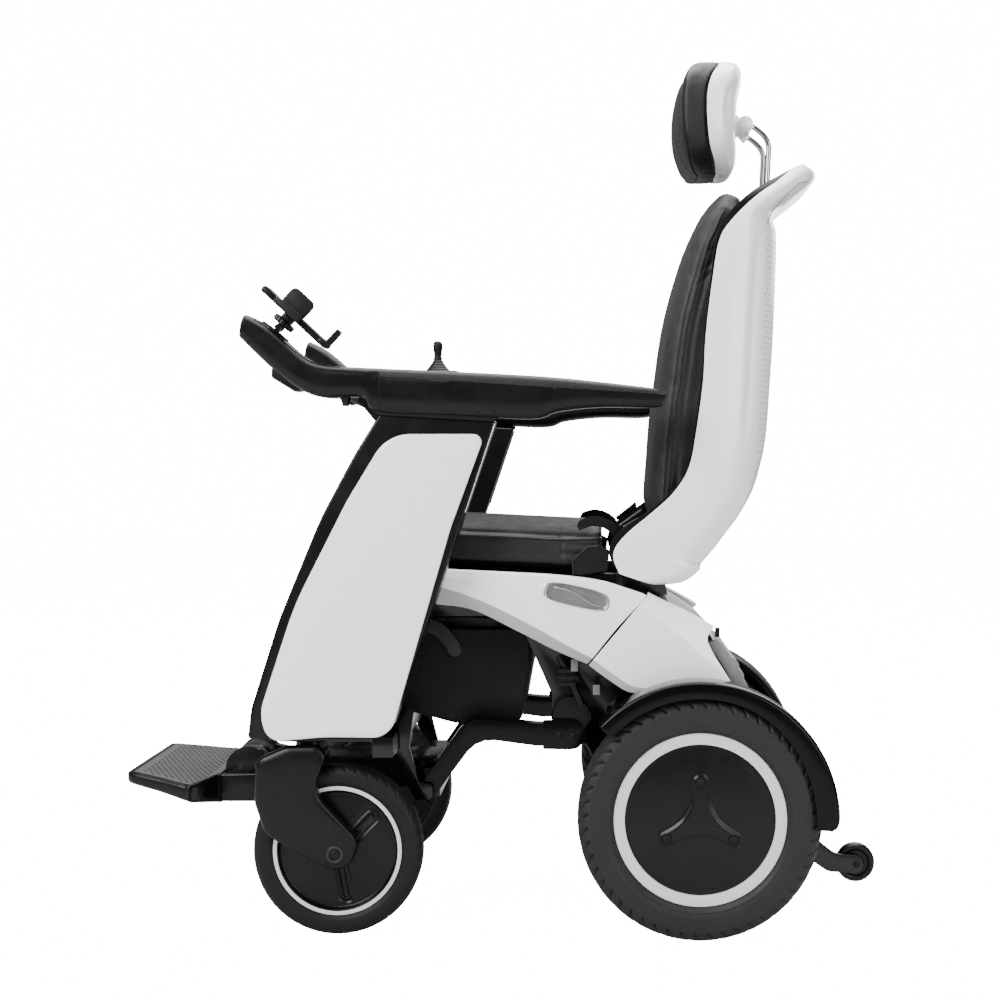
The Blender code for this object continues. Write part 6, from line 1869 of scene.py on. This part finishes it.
def build_armrests():
    stations = smooth(ARM_STATIONS, 6)
    front = [station for station in stations if station[0] < PAD_FRONT_Y - 0.0005]
    rear = [station for station in stations if station[0] > PAD_FRONT_Y + 0.0005]
    share = (PAD_FRONT_Y - front[-1][0]) / (rear[0][0] - front[-1][0])
    edge = tuple(a + (b - a) * share for a, b in zip(front[-1], rear[0]))
    rings = [arm_ring(station, False) for station in [*front, edge]]
    rings += [arm_ring(station, True) for station in [edge, *rear]]
    mesh = loft("armrest_moulding", rings, 40.0)
    place_pair("armrest_moulding", mesh, "*_arm", "satin black", "black_plastic", "armrest_*")
    tree = surface_of(mesh)
    past_arm_x = 0.33
    keel = [(-0.1640, 0.7640), (0.0080, 0.7545), (0.0080, 0.7640)]
    keel += [(-0.1500, 0.7730), (-0.1740, 0.7840), (-0.1715, 0.7700)]
    heights = np.linspace(0.774, 0.818, 12)
    seam = [from_side(tree, PAD_FRONT_Y - 0.0012, z, past_arm_x)[0] for z in heights]
    parts = [plate("arm_keel", keel, 0.2865, 0.2885, 0.0004)]
    parts.append(tube("arm_seam", [spot for spot in seam if spot], 0.0006, 8))
    place_pair("arm_keel", joined("arm_keel", *parts), "*_arm", "matt black", "black_plastic")
    corners = [(-0.3190, 0.8340, 0), (-0.3200, 0.8190, 0.006), (-0.2840, 0.7970, 0.010), (-0.2700, 0.8010, 0)]
    lamp = plate("arm_lamp_lens", rounded(corners), 0.2572, 0.2828, 0.002)
    place_pair("arm_lamp_lens", lamp, "*_arm", "gloss black", "black_plastic")
    profile = [(0.0, 0.0), (0.0045, 0.0), (0.0052, 0.002), (0.0080, 0.013), (0.0080, 0.015), (0.0, 0.015)]
    catch = revolve("arm_catch", profile, (0, 0, 0), 28, closed=False)
    stand_up(catch, (ARM_X, -0.213, 0.7775))
    barrel = tube("arm_barrel", [(0.2540, -0.186, 0.786), (0.2775, -0.186, 0.786)], 0.0075, 24)
    place_pair("arm_catch", joined("arm_catch", catch, barrel), "*_arm", "satin black", "black_plastic")
    spots = []
    for y, z in ((-0.3505, 0.8693), (-0.2590, 0.7975), (-0.0190, 0.7680), (0.0041, 0.7680), (0.1050, 0.7790)):
        hit, normal = from_side(tree, y, z, past_arm_x)
        if hit:
            spots.append((hit, normal, Vector((0, 1, 0))))
    place_screws("arm_screws", "*_arm", spots, 0.0028, 0.0022)


def build_controls():
    pod = softened("joystick_pod", 0.0012, 3)
    place("control_pod", pod, "right_arm", "satin black", "black_plastic", "joystick_pod")
    grip = [(0.0, 0.0555), (0.0030, 0.0552), (0.0058, 0.0540), (0.0078, 0.0515)]
    grip += [(0.0085, 0.0470), (0.0080, 0.0400), (0.0068, 0.0320), (0.0066, 0.0285), (0.0072, 0.0262)]
    dome = []
    for step in range(31):
        share = step / 30
        radius = 0.0072 + 0.0166 * share**1.3 + 0.0004 * math.cos(step * 2 * math.pi / 6)
        dome.append((radius, 0.0232 * (1 - share)))
    inside = [(0.0222, 0.0), (0.0140, 0.0080), (0.0, 0.0150)]
    mesh = revolve("stick_grip", grip + dome + inside, (0, 0, 0), 48, closed=False)
    stand_up(mesh, STICK_PIVOT)
    place("stick_grip", mesh, "stick", "matt black", "black_plastic", "joystick_stick")
    gimbal = softened("joystick_gimbal", 0.0005)
    place("stick_gimbal", gimbal, "gimbal", "screw metal", "black_steel", "joystick_gimbal")
    keys = (("power_button", "power_key"), ("horn_button", "horn_key"), ("recline_switch", "recline_key"))
    for node, body in keys:
        place(node + "_cap", softened(node, 0.0008, 3), body, "moulded grey", "grey_plastic", node)


def in_cradle(along, out):
    """The y and z of a point of the phone cradle, from its place along the cradle and out of it."""
    run = Vector((math.cos(CRADLE_SLOPE), -math.sin(CRADLE_SLOPE)))
    face = Vector((math.sin(CRADLE_SLOPE), math.cos(CRADLE_SLOPE)))
    return tuple(CRADLE_HINGE.yz + run * along + face * out)


def cradle_block(name, along, out, x_low, x_high, corner=0.001, rounding=0.0006):
    """A block of the phone cradle, between two places along it and two out of it."""
    spots = [(along[0], out[0]), (along[1], out[0]), (along[1], out[1]), (along[0], out[1])]
    outline = rounded([(*in_cradle(*spot), corner) for spot in spots], 6)
    return plate(name, outline, x_low, x_high, rounding, 3)


def build_phone_holder():
    blocks = (
        ("bar", (-0.056, -0.030), (0.0225, 0.0330), 0.254, 0.286, 0.0045, 0.002),
        ("rail", (-0.032, 0.066), (0.0225, 0.0325), 0.2545, 0.2610, 0.002, 0.0015),
        ("rail", (-0.032, 0.066), (0.0225, 0.0325), 0.2790, 0.2855, 0.002, 0.0015),
        ("bar_end", (0.055, 0.0717), (0.0225, 0.0330), 0.254, 0.286, 0.0045, 0.002),
        ("core", (-0.034, 0.060), (0.0240, 0.0295), 0.2600, 0.2800, 0.001, 0.0004),
        ("hook", (0.0645, 0.0712), (0.0240, 0.0575), 0.257, 0.283, 0.0025, 0.0015),
        ("knob_neck", (-0.0090, 0.0090), (0.0120, 0.0245), 0.2620, 0.2780, 0.002, 0.001),
    )
    parts = [cradle_block(*sizes) for sizes in blocks]
    knob = []
    for out, share in ((0.0054, 0.90), (0.0066, 1.0), (0.0128, 1.0), (0.0140, 0.90)):
        ring = []
        for step in range(72):
            angle = 2 * math.pi * step / 72
            radius = share * (0.0162 + 0.0022 * math.cos(6 * angle))
            ring.append((ARM_X + radius * math.cos(angle), *in_cradle(radius * math.sin(angle), out)))
        knob.append(ring)
    parts.append(loft("knob", knob))
    for low, high in ((0.2575, 0.2642), (0.2758, 0.2825)):
        parts.append(cradle_block("ear", (-0.0042, 0.0042), (0.0, 0.0090), low + 0.0005, high - 0.0005))
        parts.append(disc("ear_end", 0.0048, low, high, *CRADLE_HINGE.yz, 24))
    bar = joined("phone_cradle_bar", *parts)
    place("phone_cradle_bar", bar, "cradle", "satin black", "black_plastic", "phone_cradle")
    foot = softened("phone_mount", 0.0005)
    place("phone_foot", foot, "left_arm", "satin black", "black_plastic", "phone_mount")
    grip = cradle_block("jaw_grip", (-0.021, 0.021), (0.0290, 0.0620), 0.2875, 0.2945, 0.009, 0.002)
    base = cradle_block("jaw_base", (-0.019, 0.019), (0.0240, 0.0370), 0.2868, 0.3010, 0.003, 0.0012)
    jaw = joined("phone_jaw_pad", grip, base)
    place("phone_jaw_pad", jaw, "jaw", "matt black", "grey_plastic", "phone_jaw")


def build_frame_bolts():
    bolts = (
        ("tube_bolts", 0.1682, ((0.0975, 0.2800), (0.1190, 0.2790)), 0.0052, 0.0034),
        ("hinge_bolts", 0.1847, ((0.231, 0.561),), 0.0100, 0.0040),
        ("footrest_bolts", 0.0579, ((-0.400, 0.208),), 0.0120, 0.0030),
    )
    for name, x, places, radius, height in bolts:
        place_screws(name, "chassis", side_spots(x, *places), radius, height)


# Stage


def build_stage(stage):
    white = (1.0, 1.0, 1.0, 1.0)
    bm = bmesh.new()
    bmesh.ops.create_circle(bm, cap_ends=True, segments=96, radius=14.0)
    floor = in_scene("floor", mesh_of(bm, "floor"))
    paint = moulded("pale floor", stage.floor, (0.7, 0.8), (90.0, 0.02, 0.0005), 0.99)
    floor.data.materials.append(paint)
    tree = paint.node_tree
    seen = add_node(tree, "ShaderNodeLightPath").outputs[0]
    glow = add_math(tree, "MULTIPLY", seen, stage.backdrop)
    looks = {"Specular IOR Level": 0.0, "Emission Color": white, "Emission Strength": glow}
    feed(tree, tree.nodes["Principled BSDF"], looks)
    world = bpy.data.worlds.new("studio")
    world.use_nodes = True
    tree = world.node_tree
    seen = add_node(tree, "ShaderNodeLightPath").outputs[0]
    level = add_range(tree, seen, 0.0, 1.0, stage.around, stage.backdrop + 0.3)
    feed(tree, tree.nodes["Background"], {0: white, 1: level})
    bpy.context.scene.world = world
    lights = (
        ("key", (2.6, -2.2, 2.7), 2.2, stage.key),
        ("fill", (2.8, 2.4, 1.5), 2.0, stage.fill),
        ("top", (-0.3, 0.2, 3.4), 3.0, stage.top),
        ("rear", (-2.8, 1.2, 2.2), 2.2, stage.fill),
    )
    for name, spot, width, power in lights:
        light = bpy.data.lights.new(name, "AREA")
        light.energy = power
        light.size = width
        lamp = in_scene(name, light)
        lamp.location = spot
        lamp.rotation_euler = (LIT_POINT - Vector(spot)).to_track_quat("-Z", "Y").to_euler()
    lens = bpy.data.cameras.new("photo camera")
    lens.lens = CAMERA_LENS
    lens.sensor_width = 36.0
    lens.shift_x, lens.shift_y = CAMERA_SHIFT
    camera = in_scene("photo camera", lens)
    camera.location = CAMERA_PLACE
    camera.rotation_euler = (math.pi / 2, 0.0, math.pi / 2)
    bpy.context.scene.camera = camera


# Operators


def operator(idname, label, words, build, *needs):
    """An operator class that builds one group of pieces from the scene's settings."""

    def execute(self, context):
        build(*(getattr(context.scene, need) for need in needs))
        return {"FINISHED"}

    members = {"__doc__": words, "bl_idname": "chair." + idname, "bl_label": label, "execute": execute}
    return type("CHAIR_OT_" + idname, (bpy.types.Operator,), members)


def build_finishes(tints, wheels):
    make_finishes(tints)
    moulded("ring paint", wheels.ring, (0.30, 0.38), (300.0, 0.08, 0.0003), 0.96, 0.2)


OPERATORS = (
    operator(
        "finishes",
        "Finishes",
        "Make the chair's materials",
        build_finishes,
        "chair_finish",
        "chair_wheels",
    ),
    operator("stage", "Stage", "Add the floor, the lights and the camera", build_stage, "chair_stage"),
    operator("steelwork", "Steelwork", "Build the frame, motors and actuator", build_steelwork),
    operator("frame_bolts", "Frame Bolts", "Build the frame's bolts", build_frame_bolts),
    operator("battery", "Battery", "Build the battery, its tray and its lever", build_battery),
    operator("pillars", "Pillars", "Build the pillars and their white panels", build_pillars),
    operator("side_covers", "Side Covers", "Build the side covers and their handles", build_side_covers),
    operator("rear_covers", "Rear Covers", "Build the rear covers and the ribbed tail", build_rear_covers),
    operator("fenders", "Fenders", "Build the arches over the drive wheels", build_fenders),
    operator(
        "footplate",
        "Footplate",
        "Build the footplate with its dotted mat",
        build_footplate,
        "chair_plate",
    ),
    operator(
        "drive_wheels",
        "Drive Wheels",
        "Build the drive wheels",
        build_drive_wheels,
        "chair_wheels",
    ),
    operator("castors", "Castors", "Build the castors and their forks", build_castors, "chair_wheels"),
    operator("rollers", "Anti-Tip Rollers", "Build the rollers behind the drive wheels", build_rollers),
    operator(
        "back_shell",
        "Back Shell",
        "Build the shell, its lining and rear panel",
        build_back_shell,
        "chair_shell",
    ),
    operator("headrest", "Headrest", "Build the headrest and its rods", build_headrest, "chair_cushions"),
    operator("seat", "Seat Cushion", "Sew and stuff the seat cushion", build_seat, "chair_cushions"),
    operator(
        "back_cushion",
        "Back Cushion",
        "Sew and stuff the back cushion",
        build_back_cushion,
        "chair_cushions",
    ),
    operator("armrests", "Armrests", "Build the armrest mouldings", build_armrests),
    operator("arm_pads", "Arm Pads", "Build the elbow pads", build_arm_pads),
    operator("controls", "Controls", "Build the joystick pod and its keys", build_controls),
    operator("phone_holder", "Phone Holder", "Build the phone holder", build_phone_holder),
    operator("belts", "Lap Belts", "Build the lap belts", build_belts),
)


class CHAIR_PT_builder(bpy.types.Panel):
    """Lists the chair's settings and the operators that build it."""

    bl_label = "Wheelchair"
    bl_idname = "CHAIR_PT_builder"
    bl_space_type = "VIEW_3D"
    bl_region_type = "UI"
    bl_category = "Wheelchair"

    def draw(self, context):
        for attribute, settings in SETTINGS:
            group = getattr(context.scene, attribute)
            column = self.layout.column(align=True)
            for name in settings.__annotations__:
                column.prop(group, name)
        for item in OPERATORS:
            self.layout.operator(item.bl_idname)


def register():
    for attribute, settings in SETTINGS:
        bpy.utils.register_class(settings)
        setattr(bpy.types.Scene, attribute, PointerProperty(type=settings))
    for item in (*OPERATORS, CHAIR_PT_builder):
        bpy.utils.register_class(item)


def unregister():
    for item in reversed((*OPERATORS, CHAIR_PT_builder)):
        bpy.utils.unregister_class(item)
    for attribute, settings in reversed(SETTINGS):
        delattr(bpy.types.Scene, attribute)
        bpy.utils.unregister_class(settings)


def main():
    register()
    for item in OPERATORS:
        getattr(bpy.ops.chair, item.bl_idname.split(".")[1])()


if __name__ == "__main__":
    main()
